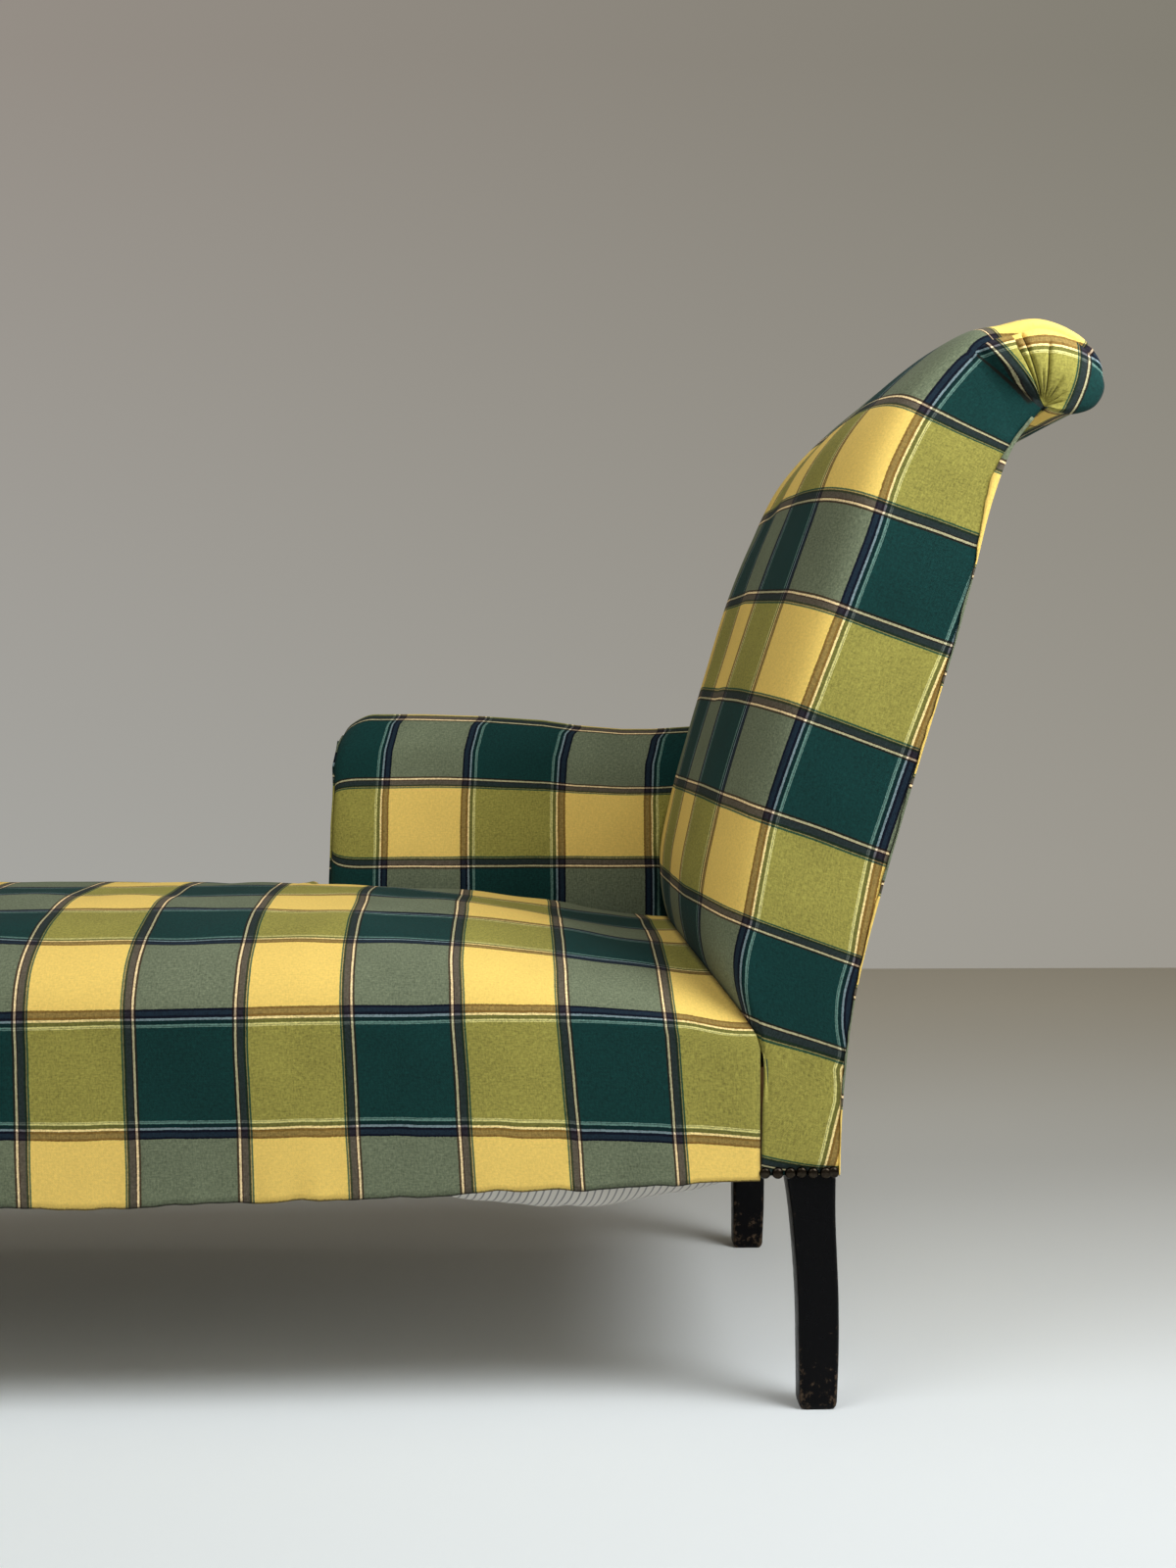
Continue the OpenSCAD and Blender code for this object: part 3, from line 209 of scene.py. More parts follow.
# The foot legs: the same sabre leg turned about, with a block that stops at the top of the rails.
foot_end, foot_setback, foot_block = -0.825, 0.028, 0.215
foot_leg_x = foot_end + foot_setback
leg_front, leg_rear = sabre_leg(foot_leg_x + leg_depth, -1)
leg_front = np.vstack([leg_front, [[foot_leg_x + leg_depth, z] for z in (foot_block, rail_top)]])
leg_rear = np.vstack([leg_rear, [[foot_leg_x, z] for z in (foot_block, rail_top)]])
foot_legs = []
for name, side in (("near_foot_leg", -1), ("far_foot_leg", 1)):
    leg = worn_post(name + "_polished", leg_front, leg_rear, side)
    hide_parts(name)
    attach(leg, "root")
    foot_legs.append(leg)


def from_hex(code):
    """A six-figure sRGB hex colour as the linear colour that the shaders work in, with alpha 1."""
    part = np.array([int(code[k:k + 2], 16) for k in (0, 2, 4)]) / 255
    return [*np.where(part <= 0.04045, part / 12.92, ((part + 0.055) / 1.055) ** 2.4).tolist(), 1.0]


def add(tree, kind, inputs=None, out=0, **settings):
    """Adds one node and gives back its output: settings are its own properties, and inputs its sockets,
    each a plain value or the output that feeds it."""
    node = tree.nodes.new("ShaderNode" + kind)
    for key, value in settings.items():
        setattr(node, key, value)
    for key, value in (inputs or {}).items():
        if isinstance(value, bpy.types.NodeSocket):
            tree.links.new(value, node.inputs[key])
        else:
            node.inputs[key].default_value = value
    return node.outputs[out]


def new_finish(name):
    """A material with an empty node tree and its surface output, ready for a shader."""
    material = bpy.data.materials.new(name)
    material.use_nodes = True
    material.node_tree.nodes.clear()
    return material, material.node_tree, material.node_tree.nodes.new("ShaderNodeOutputMaterial")


in_colour = {"out": "Result", "data_type": "RGBA"}

# Beech, stained black and French-polished: a near-black with a soft gloss, grain only just raised, and a
# warm brown where the polish has rubbed off the arrises and the feet. The grain's lines lie 1.1 mm apart.
ebonised, tree, surface = new_finish("ebonised_beech")
place = add(tree, "TexCoord", out="Object")
grain_place = add(tree, "Mapping", {"Vector": place, "Scale": (900, 900, 45)})
grain = add(tree, "TexNoise", {"Vector": grain_place, "Scale": 1.0, "Detail": 6.0, "Roughness": 0.6})
blotch = add(tree, "TexNoise", {"Vector": place, "Scale": 130.0, "Detail": 8.0, "Roughness": 0.72})
arris = add(tree, "Attribute", out="Fac", attribute_name="arris")
height = add(tree, "SeparateXYZ", {"Vector": place}, out="Z")
low = add(tree, "MapRange", {"Value": height, "From Min": 0.075, "From Max": 0.0, "To Min": 0.0, "To Max": 0.17})
rub = add(tree, "Math", {0: arris, 1: 0.10}, operation="MULTIPLY")
rub = add(tree, "Math", {0: rub, 1: low}, operation="ADD")
rub = add(tree, "Math", {0: rub, 1: blotch}, operation="ADD")
worn = add(tree, "MapRange", {"Value": rub, "From Min": 0.66, "From Max": 0.78}, interpolation_type="SMOOTHSTEP")
black = add(tree, "Mix", {"Factor": grain, "A": from_hex("020203"), "B": from_hex("060608")}, **in_colour)
brown = add(tree, "Mix", {"Factor": grain, "A": from_hex("2a211a"), "B": from_hex("5c4b3a")}, **in_colour)
colour = add(tree, "Mix", {"Factor": worn, "A": black, "B": brown}, **in_colour)
gloss = add(tree, "MapRange", {"Value": rub, "From Min": 0.3, "From Max": 0.8, "To Min": 0.20, "To Max": 0.50})
bump = add(tree, "Bump", {"Height": grain, "Strength": 0.12, "Distance": 0.0004})
shader = add(tree, "BsdfPrincipled",
             {"Base Color": colour, "Roughness": gloss, "Normal": bump, "Specular IOR Level": 0.09})
tree.links.new(shader, surface.inputs["Surface"])
for post in back_posts + foot_legs:
    post.data.materials.append(ebonised)

# The hidden frame: rails, blocks, dowels and the arm's and the scroll's rails, sawn from plain beech and
# glued. They keep the shapes of the solids and stay bare, with the saw's fine lines, 4 mm apart, along the
# grain.
beech, tree, surface = new_finish("sawn_beech")
place = add(tree, "TexCoord", out="Object")
grain_place = add(tree, "Mapping", {"Vector": place, "Scale": (14, 260, 260)})
grain = add(tree, "TexNoise", {"Vector": grain_place, "Scale": 1.0, "Detail": 7.0, "Roughness": 0.65})
fleck_place = add(tree, "Mapping", {"Vector": place, "Scale": (160, 1400, 700)})
fleck = add(tree, "TexVoronoi", {"Vector": fleck_place, "Scale": 1.0})
colour = add(tree, "Mix", {"Factor": grain, "A": from_hex("8f6a45"), "B": from_hex("c69c6d")}, **in_colour)
colour = add(tree, "Mix", {"Factor": fleck, "A": from_hex("a37d55"), "B": colour}, **in_colour)
bump = add(tree, "Bump", {"Height": grain, "Strength": 0.3, "Distance": 0.0006})
shader = add(tree, "BsdfPrincipled", {"Base Color": colour, "Roughness": 0.72, "Normal": bump})
tree.links.new(shader, surface.inputs["Surface"])

# The springing: tarred jute webbing with yarns 2 mm apart, hessian canvas with yarns 1.2 mm apart, flax twine
# and copper-washed steel springs, all hidden, each with its own weave or draw marks.
jute, tree, surface = new_finish("jute_webbing")
place = add(tree, "TexCoord", out="Object")
warp = add(tree, "TexWave", {"Vector": place, "Scale": 160.0, "Distortion": 0.6}, bands_direction="X", out="Fac")
weft = add(tree, "TexWave", {"Vector": place, "Scale": 160.0, "Distortion": 0.6}, bands_direction="Y", out="Fac")
weave = add(tree, "Math", {0: warp, 1: weft}, operation="MULTIPLY")
tuft = add(tree, "TexNoise", {"Vector": place, "Scale": 700.0, "Detail": 4.0})
shade = add(tree, "Math", {0: weave, 1: tuft}, operation="MULTIPLY")
colour = add(tree, "Mix", {"Factor": shade, "A": from_hex("6e5536"), "B": from_hex("b99a68")}, **in_colour)
bump = add(tree, "Bump", {"Height": weave, "Strength": 0.6, "Distance": 0.0008})
shader = add(tree, "BsdfPrincipled", {"Base Color": colour, "Roughness": 0.95, "Normal": bump})
tree.links.new(shader, surface.inputs["Surface"])

hessian, tree, surface = new_finish("hessian_canvas")
place = add(tree, "TexCoord", out="Object")
warp = add(tree, "TexWave", {"Vector": place, "Scale": 260.0, "Distortion": 0.8}, bands_direction="X", out="Fac")
weft = add(tree, "TexWave", {"Vector": place, "Scale": 260.0, "Distortion": 0.8}, bands_direction="Y", out="Fac")
weave = add(tree, "Math", {0: warp, 1: weft}, operation="MULTIPLY")
colour = add(tree, "Mix", {"Factor": weave, "A": from_hex("7d6a48"), "B": from_hex("c9b184")}, **in_colour)
bump = add(tree, "Bump", {"Height": weave, "Strength": 0.5, "Distance": 0.0005})
shader = add(tree, "BsdfPrincipled", {"Base Color": colour, "Roughness": 0.95, "Normal": bump})
tree.links.new(shader, surface.inputs["Surface"])

flax, tree, surface = new_finish("flax_twine")
place = add(tree, "TexCoord", out="Object")
lay = add(tree, "TexWave", {"Vector": place, "Scale": 300.0, "Distortion": 1.2}, bands_direction="DIAGONAL",
          out="Fac")
colour = add(tree, "Mix", {"Factor": lay, "A": from_hex("8a744c"), "B": from_hex("d0bc90")}, **in_colour)
bump = add(tree, "Bump", {"Height": lay, "Strength": 0.5, "Distance": 0.0004})
shader = add(tree, "BsdfPrincipled", {"Base Color": colour, "Roughness": 0.9, "Normal": bump})
tree.links.new(shader, surface.inputs["Surface"])

spring_steel, tree, surface = new_finish("copper_washed_steel")
place = add(tree, "TexCoord", out="Object")
bloom = add(tree, "TexNoise", {"Vector": place, "Scale": 90.0, "Detail": 5.0})
colour = add(tree, "Mix", {"Factor": bloom, "A": from_hex("6b3f2a"), "B": from_hex("b9825c")}, **in_colour)
shader = add(tree, "BsdfPrincipled", {"Base Color": colour, "Metallic": 1.0, "Roughness": 0.42})
tree.links.new(shader, surface.inputs["Surface"])


def finish_node(name, material):
    """Puts a material into every slot of a solid that keeps its own shape."""
    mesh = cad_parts[name].data
    for k in range(max(1, len(mesh.materials))):
        if len(mesh.materials) <= k:
            mesh.materials.append(material)
        mesh.materials[k] = material


hidden = {
    beech: ("near_side_rail", "far_side_rail", "foot_rail", "head_rail", "corner_blocks", "crest_rail",
            "back_stay_rail", "arm_stump", "arm_dowels", "arm_top_rail", "arm_tacking_rail"),
    jute: ("webbing_across", "webbing_along", "back_webbing"),
    hessian: ("spring_canvas", "back_canvas"),
    flax: ("lashing_twine",),
    spring_steel: ("seat_springs",),
}
for material, names in hidden.items():
    for name in names:
        finish_node(name, material)

# The dust cover: striped cotton ticking tacked up under the rails, which has slackened and sags in two
# bellies below the near hem. Grey stripes run across the couch on an unbleached ground.
rail_half, rail_thick, rail_under = 0.314, 0.028, 0.200
head_rail_x, foot_rail_x = 0.5457, -0.777
rail_from, rail_to = -0.755, 0.5317
webbing_thick, tack_lap, edge_gap, hair = 0.0016, 0.018, 0.0012, 0.0003
sag_depth, belly_x, belly_length = 0.042, 0.356, 0.430
dust_top = rail_under - 2 * webbing_thick - hair


def ticking_dip(x, y, half):
    """Sag of the ticking: nothing at its tacked edges, steep beside them, deepest near the open side, and a
    wave of one belly in each 430 mm along the couch."""
    w = np.clip((y - middle_y) / half, -1, 1)
    across = np.maximum(1 - abs(w) ** 8, 0) ** 0.6 * ((1 - w) / 2) ** 0.7
    wave = 0.62 + 0.38 * np.cos(2 * np.pi * (x - belly_x) / belly_length)
    ends = np.sqrt(np.clip((x - rail_from) / 0.215, 0, 1) * np.clip((rail_to - x) / 0.060, 0, 1))
    return sag_depth * across * wave * ends


def smooth_noise(x, y, seed, waves=9, coarse=1.0, fine=4.0):
    """Soft unevenness between about -1 and 1: a sum of plane sine waves whose directions, lengths and starts
    come from a seeded generator, from coarse to fine waves a metre."""
    pick = np.random.default_rng(seed)
    total = 0
    for rate in np.geomspace(coarse, fine, waves):
        heading, start = pick.uniform(0, 2 * np.pi, 2)
        total = total + np.sin(2 * np.pi * rate * (x * np.cos(heading) + y * np.sin(heading)) + start)
    return total / np.sqrt(waves)


def steps_along(points, axis):
    """Length travelled along each line of a grid of points, from its first point."""
    step = np.linalg.norm(np.diff(points, axis=axis), axis=-1)
    start = np.zeros_like(step.take([0], axis=axis))
    return np.concatenate([start, np.cumsum(step, axis=axis)], axis=axis)


def sheet_piece(name, points, uv, thickness, offset):
    """An open cloth from its grid of points and the UV of each, thickened on one side (-1) or both (0)."""
    quads = grid_quads(*points.shape[:2])
    piece = mesh_piece(name, points, quads.tolist(), uv=uv.reshape(-1, 2)[quads])
    thicken = piece.modifiers.new("cloth", "SOLIDIFY")
    thicken.thickness = thickness
    thicken.offset = offset
    return piece


dust_inner, dust_outer = half_frame - post_width - edge_gap, rail_half - rail_thick + tack_lap
dust_x = np.concatenate([[foot_rail_x + 0.004, rail_from + edge_gap],
                         np.linspace(rail_from + 0.010, head_rail_x, 180)])
dust_half = np.where(dust_x <= rail_from + edge_gap, dust_inner, dust_outer)
dust_w = -np.cos(np.linspace(0, np.pi, 90))
x = np.repeat(dust_x[:, None], len(dust_w), 1)
y = middle_y + dust_half[:, None] * dust_w
dip = ticking_dip(x, y, dust_half[:, None])
crumple = 0.0016 * smooth_noise(x, y, 4, coarse=3, fine=16) * np.clip(dip / 0.01, 0, 1)
ticking_points = xyz(x, y, dust_top - dip - abs(crumple))
askew = 0.22 * np.minimum(steps_along(ticking_points, 1), 0.08)
ticking = sheet_piece("ticking_cover", ticking_points, np.stack([x + askew, y], -1), 0.0007, -1)
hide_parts("dust_cover")
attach(ticking, "root")
ticking_size = [float(steps_along(ticking_points, axis).take([-1], axis=axis).mean()) for axis in (1, 0)]

# Cotton ticking: a tight twill with threads 1 mm apart, dull, with a 1.5 mm grey stripe every 6 mm, tacked a
# little askew, and grimy.
striped, tree, surface = new_finish("cotton_ticking")
place = add(tree, "UVMap", uv_map="cloth")
wander = add(tree, "TexNoise", {"Vector": place, "Scale": 30.0, "Detail": 2.0})
along_x = add(tree, "SeparateXYZ", {"Vector": place}, out="X")
shifted = add(tree, "Math", {0: wander, 1: 0.0016, 2: along_x}, operation="MULTIPLY_ADD")
phase = add(tree, "Math", {0: shifted, 1: 0.0031}, operation="PINGPONG")
stripe = add(tree, "MapRange", {"Value": phase, "From Min": 0.0006, "From Max": 0.0009})
grime = add(tree, "TexNoise", {"Vector": place, "Scale": 9.0, "Detail": 6.0})
ground = add(tree, "Mix", {"Factor": grime, "A": from_hex("b4aea4"), "B": from_hex("d8d3c9")}, **in_colour)
colour = add(tree, "Mix", {"Factor": stripe, "A": from_hex("888582"), "B": ground}, **in_colour)
twill_place = add(tree, "Mapping", {"Vector": place, "Rotation": (0, 0, 0.8)})
twill = add(tree, "TexWave", {"Vector": twill_place, "Scale": 300.0, "Distortion": 0.5}, out="Fac")
bump = add(tree, "Bump", {"Height": twill, "Strength": 0.2, "Distance": 0.0003})
shader = add(tree, "BsdfPrincipled",
             {"Base Color": colour, "Roughness": 0.92, "Normal": bump, "Specular IOR Level": 0.3})
tree.links.new(shader, surface.inputs["Surface"])
ticking.data.materials.append(striped)

# The seat: hair stuffing over a sprung canvas, pulled tight under one length of woollen plaid that is
# drawn over the long sides, tacked under the rails, and tucked into the crevice in front of the back.
side_depth, back_crown = 0.100, 0.066
panel_reach = stile_shares[:, 3:4] * side_depth
corner_line = np.vstack([stile_line + panel_reach * forward, gather + scroll_shares[:, 2:3] * scroll_line])
front_line = np.vstack([stile_line + (panel_reach + stile_shares[:, 4:5] * back_crown) * forward,
                        gather + scroll_line])
foot_round, foot_corner, seat_bulge = 0.052, 0.028, 0.013
hem_height, hem_drop = 0.1997, 0.022
shoulder_z, crown_top, crown_drop, crown_fall = 0.325, 0.420, 0.038, 0.390
arm_front_x, arm_notch, notch_step = 0.120, 0.032, 0.0012
notch_x = arm_front_x - arm_notch / 2
crease_x = corner_line[0][0] - 0.003
ceiling = 0.3602
arm_base = ceiling + hair
arm_outer = middle_y + half_frame
arm_inner = arm_outer - 0.108
half_cover = half_frame + cloth
skin_fullness = 0.88
pinch_length = 0.060
crevice_station = 2.05
crevice_low = curve_through(corner_line, crevice_station)[1]
side_units, crown_units = 3, 16
far_unit, last_unit = side_units + crown_units, 2 * side_units + crown_units
side_steps, top_steps, far_steps = 24, 100, 12


def hem_z(x):
    """Height of the seat's lower edge: level with the rails at the foot, 22 mm lower halfway, and drawn a few
    millimetres off that arc towards the back, where the table gives it."""
    s = np.clip((x - foot_end) / (rail_to - foot_end), 0, 1)
    drawn_off = np.interp(x, [-0.11, 0.05, 0.208, 0.300, 0.364, 0.462, 0.520],
                          [0, 0.0010, 0.0022, 0.0010, -0.0010, -0.0030, -0.0042])
    return hem_height - hem_drop * 4 * s * (1 - s) + drawn_off


def crown_z(x):
    """Height of the seat's top along its length: level, then falling 38 mm towards the back."""
    return crown_top - crown_drop * np.clip(1 - (rail_to - 0.058 - x) / crown_fall, 0, 1) ** 2.3


def beside_arm(x):
    """0 in front of the arm and 1 beside it, with a smooth step over half the notch for the arm's front."""
    return eased((x - notch_x - notch_step) / (arm_notch / 2 - cloth - notch_step))


def seat_section(x, draw, unit):
    """Points of the seat at length x. unit runs from 0 at the near hem over 3 at the near shoulder and 19 at
    the far one to 22 at the far hem. The sides are upright, and the top is a flattened half ellipse, whose
    sine and cosine are raised to the power 0.8. draw pulls the section in where the foot end rounds over."""
    t = np.clip((unit - side_units) / crown_units, 0, 1)
    a = np.pi * t
    lift = (x >= notch_x).astype(float)
    pinch = eased((x - crease_x + pinch_length) / pinch_length)
    half = half_frame + blend_of(seat_bulge, cloth, pinch) - foot_corner * draw
    far = blend_of(half, arm_inner - middle_y - 0.0009, beside_arm(x))
    shoulder = blend_of(shoulder_z, crevice_low, pinch)
    crown = blend_of(crown_z(x), shoulder_z, draw)
    far_shoulder = blend_of(shoulder, arm_base + 0.014, lift)
    low = np.where(t < 0.5, shoulder, far_shoulder)
    cosine = np.where(np.isclose(t, 0.5), 0, np.cos(a))
    y = -np.sign(cosine) * abs(cosine) ** 0.8 * np.where(t < 0.5, half, far)
    z = low + (crown - low) * np.maximum(np.sin(a), 0) ** 0.8
    near, beyond = unit < side_units, unit > far_unit
    y = np.where(near, -half, np.where(beyond, far, y))
    near_rise = blend_of(hem_z(x), shoulder, unit / side_units)
    far_hem = blend_of(hem_z(x), arm_base + 0.002, lift)
    far_fall = blend_of(far_shoulder, far_hem, (unit - far_unit) / side_units)
    return xyz(x, middle_y + y, np.where(near, near_rise, np.where(beyond, far_fall, z)))


def skin_share(y):
    """How far towards the crown the back's front stands at width y: its section is a flattened half ellipse."""
    w = np.clip(abs(y - middle_y) / half_cover, 0, 1)
    return (1 - w ** (2 / skin_fullness)) ** (skin_fullness / 2)


def back_skin(station, share):
    """A point of the back's front in X and Z, between its corner line and its front line."""
    share = np.asarray(share)[..., None]
    return blend_of(curve_through(corner_line, station), curve_through(front_line, station), share)


def seat_tail(unit):
    """The seat's last row, which lies in the crevice along the back's side and front."""
    p = seat_section(np.full(unit.shape, crease_x), 0.0, unit)
    s = skin_share(p[..., 1] - np.sign(p[..., 1] - middle_y) * cloth)
    q = back_skin(blend_of(crevice_station, crevice_station + 1, s), s)
    x = np.where(unit <= side_units, p[..., 0], np.minimum(q[..., 0] - 0.0012, crease_x))
    beyond = (unit <= side_units) | (unit > far_unit)
    return np.stack([x, p[..., 1], np.where(beyond, p[..., 2], q[..., 1])], -1)


unit = np.concatenate([np.linspace(0, side_units, side_steps + 1),
                       np.linspace(side_units, far_unit, top_steps + 1)[1:],
                       np.linspace(far_unit, last_unit, far_steps + 1)[1:]])[None, :]
near_cols, top_cols = slice(0, side_steps), slice(side_steps, side_steps + top_steps + 1)
middle_col = side_steps + top_steps // 2
round_x = foot_end + foot_round
folds = np.linspace(1, 0, 12)[:-1]
angles = np.radians(np.linspace(0, 90, 15))
body_x = np.linspace(round_x, arm_front_x - arm_notch, 118)[1:]
notch_rows = np.append(notch_x + np.array([-notch_step, notch_step, 0.006, 0.010]), arm_front_x - cloth)
tail_s = np.linspace(0, 1, 56)[1:]
foot_x, foot_y, foot_z = seat_section(np.full(unit.shape, foot_end), 1.0, unit)[0].T
spread = middle_y + (half_frame + seat_bulge - foot_corner) * 0.98 * (2 * unit[0] / last_unit - 1)
end_rows = [np.stack([foot_x, blend_of(foot_y, spread, f), blend_of(foot_z, hem_z(foot_end), f)], -1) for f in folds]
round_rows = seat_section(blend_of(round_x, foot_end, np.cos(angles))[:, None], 1 - np.sin(angles)[:, None], unit)
body_rows = seat_section(np.concatenate([body_x, notch_rows])[:, None], 0.0, unit)
last_row = seat_tail(unit[0])
tail_rows = seat_section(blend_of(arm_front_x, last_row[:, 0], tail_s[:, None]), 0.0, unit)
tail_rows[..., 1] = blend_of(tail_rows[..., 1], last_row[:, 1], eased(tail_s)[:, None])
tail_rows[..., 2] = blend_of(tail_rows[..., 2], last_row[:, 2], tail_s[:, None] ** 4)
seat_grid = np.concatenate([np.array(end_rows), round_rows, body_rows, tail_rows])
rows, columns = seat_grid.shape[:2]
first_round, first_body = len(folds), len(folds) + len(angles) - 1

# How the plaid lies on the seat: its cross bars run over the width, and stand at these places on the near
# side, closer together towards the back, and lean towards the foot the more the nearer they are to the
# back. Its length bars run level along the side, and the lower one drops towards the back. The halves are
# those of the plaid's repeat along and across, and the two heights those where its bars were measured.
a_half, b_half = 0.0915, 0.0945
mark_z, side_bar_z = 0.2857, 0.2902
bars_before, bars_after = 10, 3
a_marks = np.array([-0.0448, 0.0462, 0.1383, 0.2273, 0.3195, 0.4096, 0.4961])
a_marks = np.concatenate([a_marks[0] + a_half * np.arange(-bars_before, 0), a_marks,
                          a_marks[-1] + 0.082 * np.arange(1, bars_after + 1)])
a_count = a_half * (np.arange(len(a_marks)) - bars_before)

x, y, z = seat_grid[..., 0], seat_grid[..., 1], seat_grid[..., 2]
across = steps_along(seat_grid, 1)
from_shoulder = across - across[:, side_steps:side_steps + 1]
over_top = np.maximum(from_shoulder, 0)
slant = np.interp(x, [-0.6, 0.09, 0.18, 0.27, 0.365, 0.455, 0.53], [0.0, 0.031, 0.056, 0.056, 0.088, 0.076, 0.08])
near_side = unit <= side_units
climb = np.where(near_side, z - mark_z, shoulder_z - mark_z + 0.04 * (1 - np.exp(-over_top / 0.04)))
seat_u = np.interp(x + slant * climb, a_marks, a_count)
lower_drop = np.interp(x, [-0.110, -0.008, 0.094, 0.176, 0.274, 0.360, 0.462, 0.523],
                       [-0.0029, -0.0020, -0.0012, -0.0008, 0.0012, 0.0057, 0.0123, 0.0192])
lower_drop = np.where(near_side, lower_drop * (1 - eased((z - 0.235) / 0.085)), 0)
seat_v = lower_drop + shoulder_z + np.where(near_side, z - shoulder_z, from_shoulder)
seat_v = seat_v - 0.016 * (x - 0.1357) * np.exp(-over_top / 0.3) - side_bar_z + b_half
plan_arc = steps_along(seat_grid[first_round:first_body + 1], 0)
crown_v = np.interp(y, y[first_body, top_cols], seat_v[first_body, top_cols])
seat_u[first_round:first_body + 1] = seat_u[first_body] + (plan_arc - plan_arc[-1:])
seat_v[first_round:first_body, top_cols] = crown_v[first_round:first_body, top_cols]
seat_u[:first_round] = seat_u[first_round, middle_col] - (shoulder_z - z[:first_round])
seat_v[:first_round] = crown_v[:first_round]
seat_uv = np.stack([seat_u, seat_v], -1)

# Unevenness of the stuffing and of the pull of the cloth, and a hem that waves a little
puff = 0.0016 * smooth_noise(x, y, 11, coarse=1.2, fine=5) + 0.0007 * smooth_noise(x, y, 12, coarse=6, fine=14)
top_share = eased(from_shoulder / 0.06) * eased((across[:, -1:] - across) / 0.1) * eased((x - foot_end) / 0.1)
back_share = eased((crease_x - 0.03 - x) / 0.12)
seat_grid[..., 2] += puff * top_share * back_share
side_pull = 0.0012 * smooth_noise(x, z, 13, coarse=2, fine=9)
side_pull -= 0.0018 * np.exp(-((x - 0.43) / 0.09) ** 2) * np.sin(np.pi * np.clip((z - 0.2) / 0.12, 0, 1))
side_pull += 0.0010 * smooth_noise(x, 0 * x, 15, coarse=12, fine=38) * np.exp(-np.maximum(z - hem_z(x), 0) / 0.028)
side_mask = eased((shoulder_z - z) / 0.02 + 1) * eased((x - foot_end - 0.06) / 0.1) * back_share
seat_grid[..., 1] += np.where(unit < last_unit / 2, side_pull * side_mask, 0)
hem_wave = 0.0016 * smooth_noise(x, 0 * x, 14, coarse=2, fine=11)
hem_wave = hem_wave + 0.0009 * smooth_noise(x, 0 * x, 16, coarse=14, fine=44)
seat_grid[..., 2] += hem_wave * np.clip(1 - unit / 2, 0, 1) * eased((crease_x - x) / 0.05)


def closed_pad(name, over, under, uv_over, breaks=(), soil=None):
    """A stuffed piece: its skin is the grid over, and its hidden side the grid under, which has the same
    rows but fewer columns. Both long borders are joined, and one face closes each end. Each pair in breaks
    is a choice of cells and the UV that they read instead, so that the pattern may break at a fold. The last
    argument is 1 for each point of the skin that is painted dark as shade, at a turned edge or in a crease, and 0
    elsewhere."""
    points = np.concatenate([over.reshape(-1, 3), under.reshape(-1, 3)])
    number = np.arange(len(points))
    first = over[..., 0].size
    upper, lower = number[:first].reshape(over.shape[:2]), number[first:].reshape(under.shape[:2])
    skin = grid_quads(*over.shape[:2])
    inside = grid_quads(*under.shape[:2], first=first)
    near = np.stack([upper[:-1, 0], upper[1:, 0], lower[1:, 0], lower[:-1, 0]], -1)
    far = np.stack([upper[:-1, -1], lower[:-1, -1], lower[1:, -1], upper[1:, -1]], -1)
    quads = np.concatenate([skin, inside[:, ::-1], near, far])
    ends = [[*upper[row].tolist(), *lower[row][::-1].tolist()] for row in (0, -1)]
    uv_all = np.concatenate([uv_over.reshape(-1, 2), under[..., :2].reshape(-1, 2)])
    corner_uv = uv_all[quads]
    for cells, uv_there in breaks:
        picked = cells.reshape(-1)
        corner_uv[:len(skin)][picked] = uv_there.reshape(-1, 2)[skin[picked]]
    uv = np.concatenate([corner_uv.reshape(-1, 2), uv_all[ends[0]], uv_all[ends[1]]])
    soiled = np.concatenate([np.zeros(first) if soil is None else soil.ravel(), np.zeros(lower.size)])
    return mesh_piece(name, points, quads.tolist() + ends, uv=uv, soil=soiled)


# Underneath, the stuffing follows the rails' outer faces, and lies flat on the canvas
lining_col, near_col, far_col = 62, 40, 108
inner_edge = np.where(x[:, 0] < rail_from + 0.002, half_frame, rail_half) + hair
far_edge = blend_of(inner_edge, arm_inner - middle_y - 0.024, beside_arm(x[:, lining_col]))
pad_x = np.maximum(x[:, lining_col], blend_of(foot_leg_x - hair, x[:, lining_col], 0.04))
side_top = np.minimum(ceiling, np.where(pad_x > crease_x - pinch_length, crevice_low, shoulder_z) - 0.008)
lifted = pad_x >= notch_x
lining_y = np.stack([-inner_edge, -inner_edge, -inner_edge * 0.9, far_edge * 0.9, far_edge, far_edge], 1)
near_top, far_top = (np.minimum(ceiling, z[:, column] - 0.007) for column in (near_col, far_col))
lining_z = np.stack([np.full(rows, rail_under), side_top, near_top, far_top,
                     np.where(lifted, ceiling, side_top), np.where(lifted, ceiling, rail_under)], 1)
lining = xyz(pad_x[:, None], middle_y + lining_y, lining_z)
side_cells = np.zeros((rows - 1, columns - 1), bool)
side_cells[first_round:first_body, near_cols] = True
side_cells[first_round:first_body, -far_steps:] = True
side_uv = seat_uv.copy()
side_v = z + lower_drop - side_bar_z + b_half
side_uv[first_round:first_body + 1, :side_steps + 1, 1] = side_v[first_round:first_body + 1, :side_steps + 1]
# Painted shade: the seat's two hem rows are marked to be painted dark, a shade line where the cloth turns under
hem_soil = np.zeros(seat_grid.shape[:2])
hem_soil[:, [0, -1]] = 1
seat = closed_pad("seat_in_plaid", seat_grid, lining, seat_uv, [(side_cells, side_uv)], hem_soil)
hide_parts("seat_cover", "seat_pad")
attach(seat, "root")

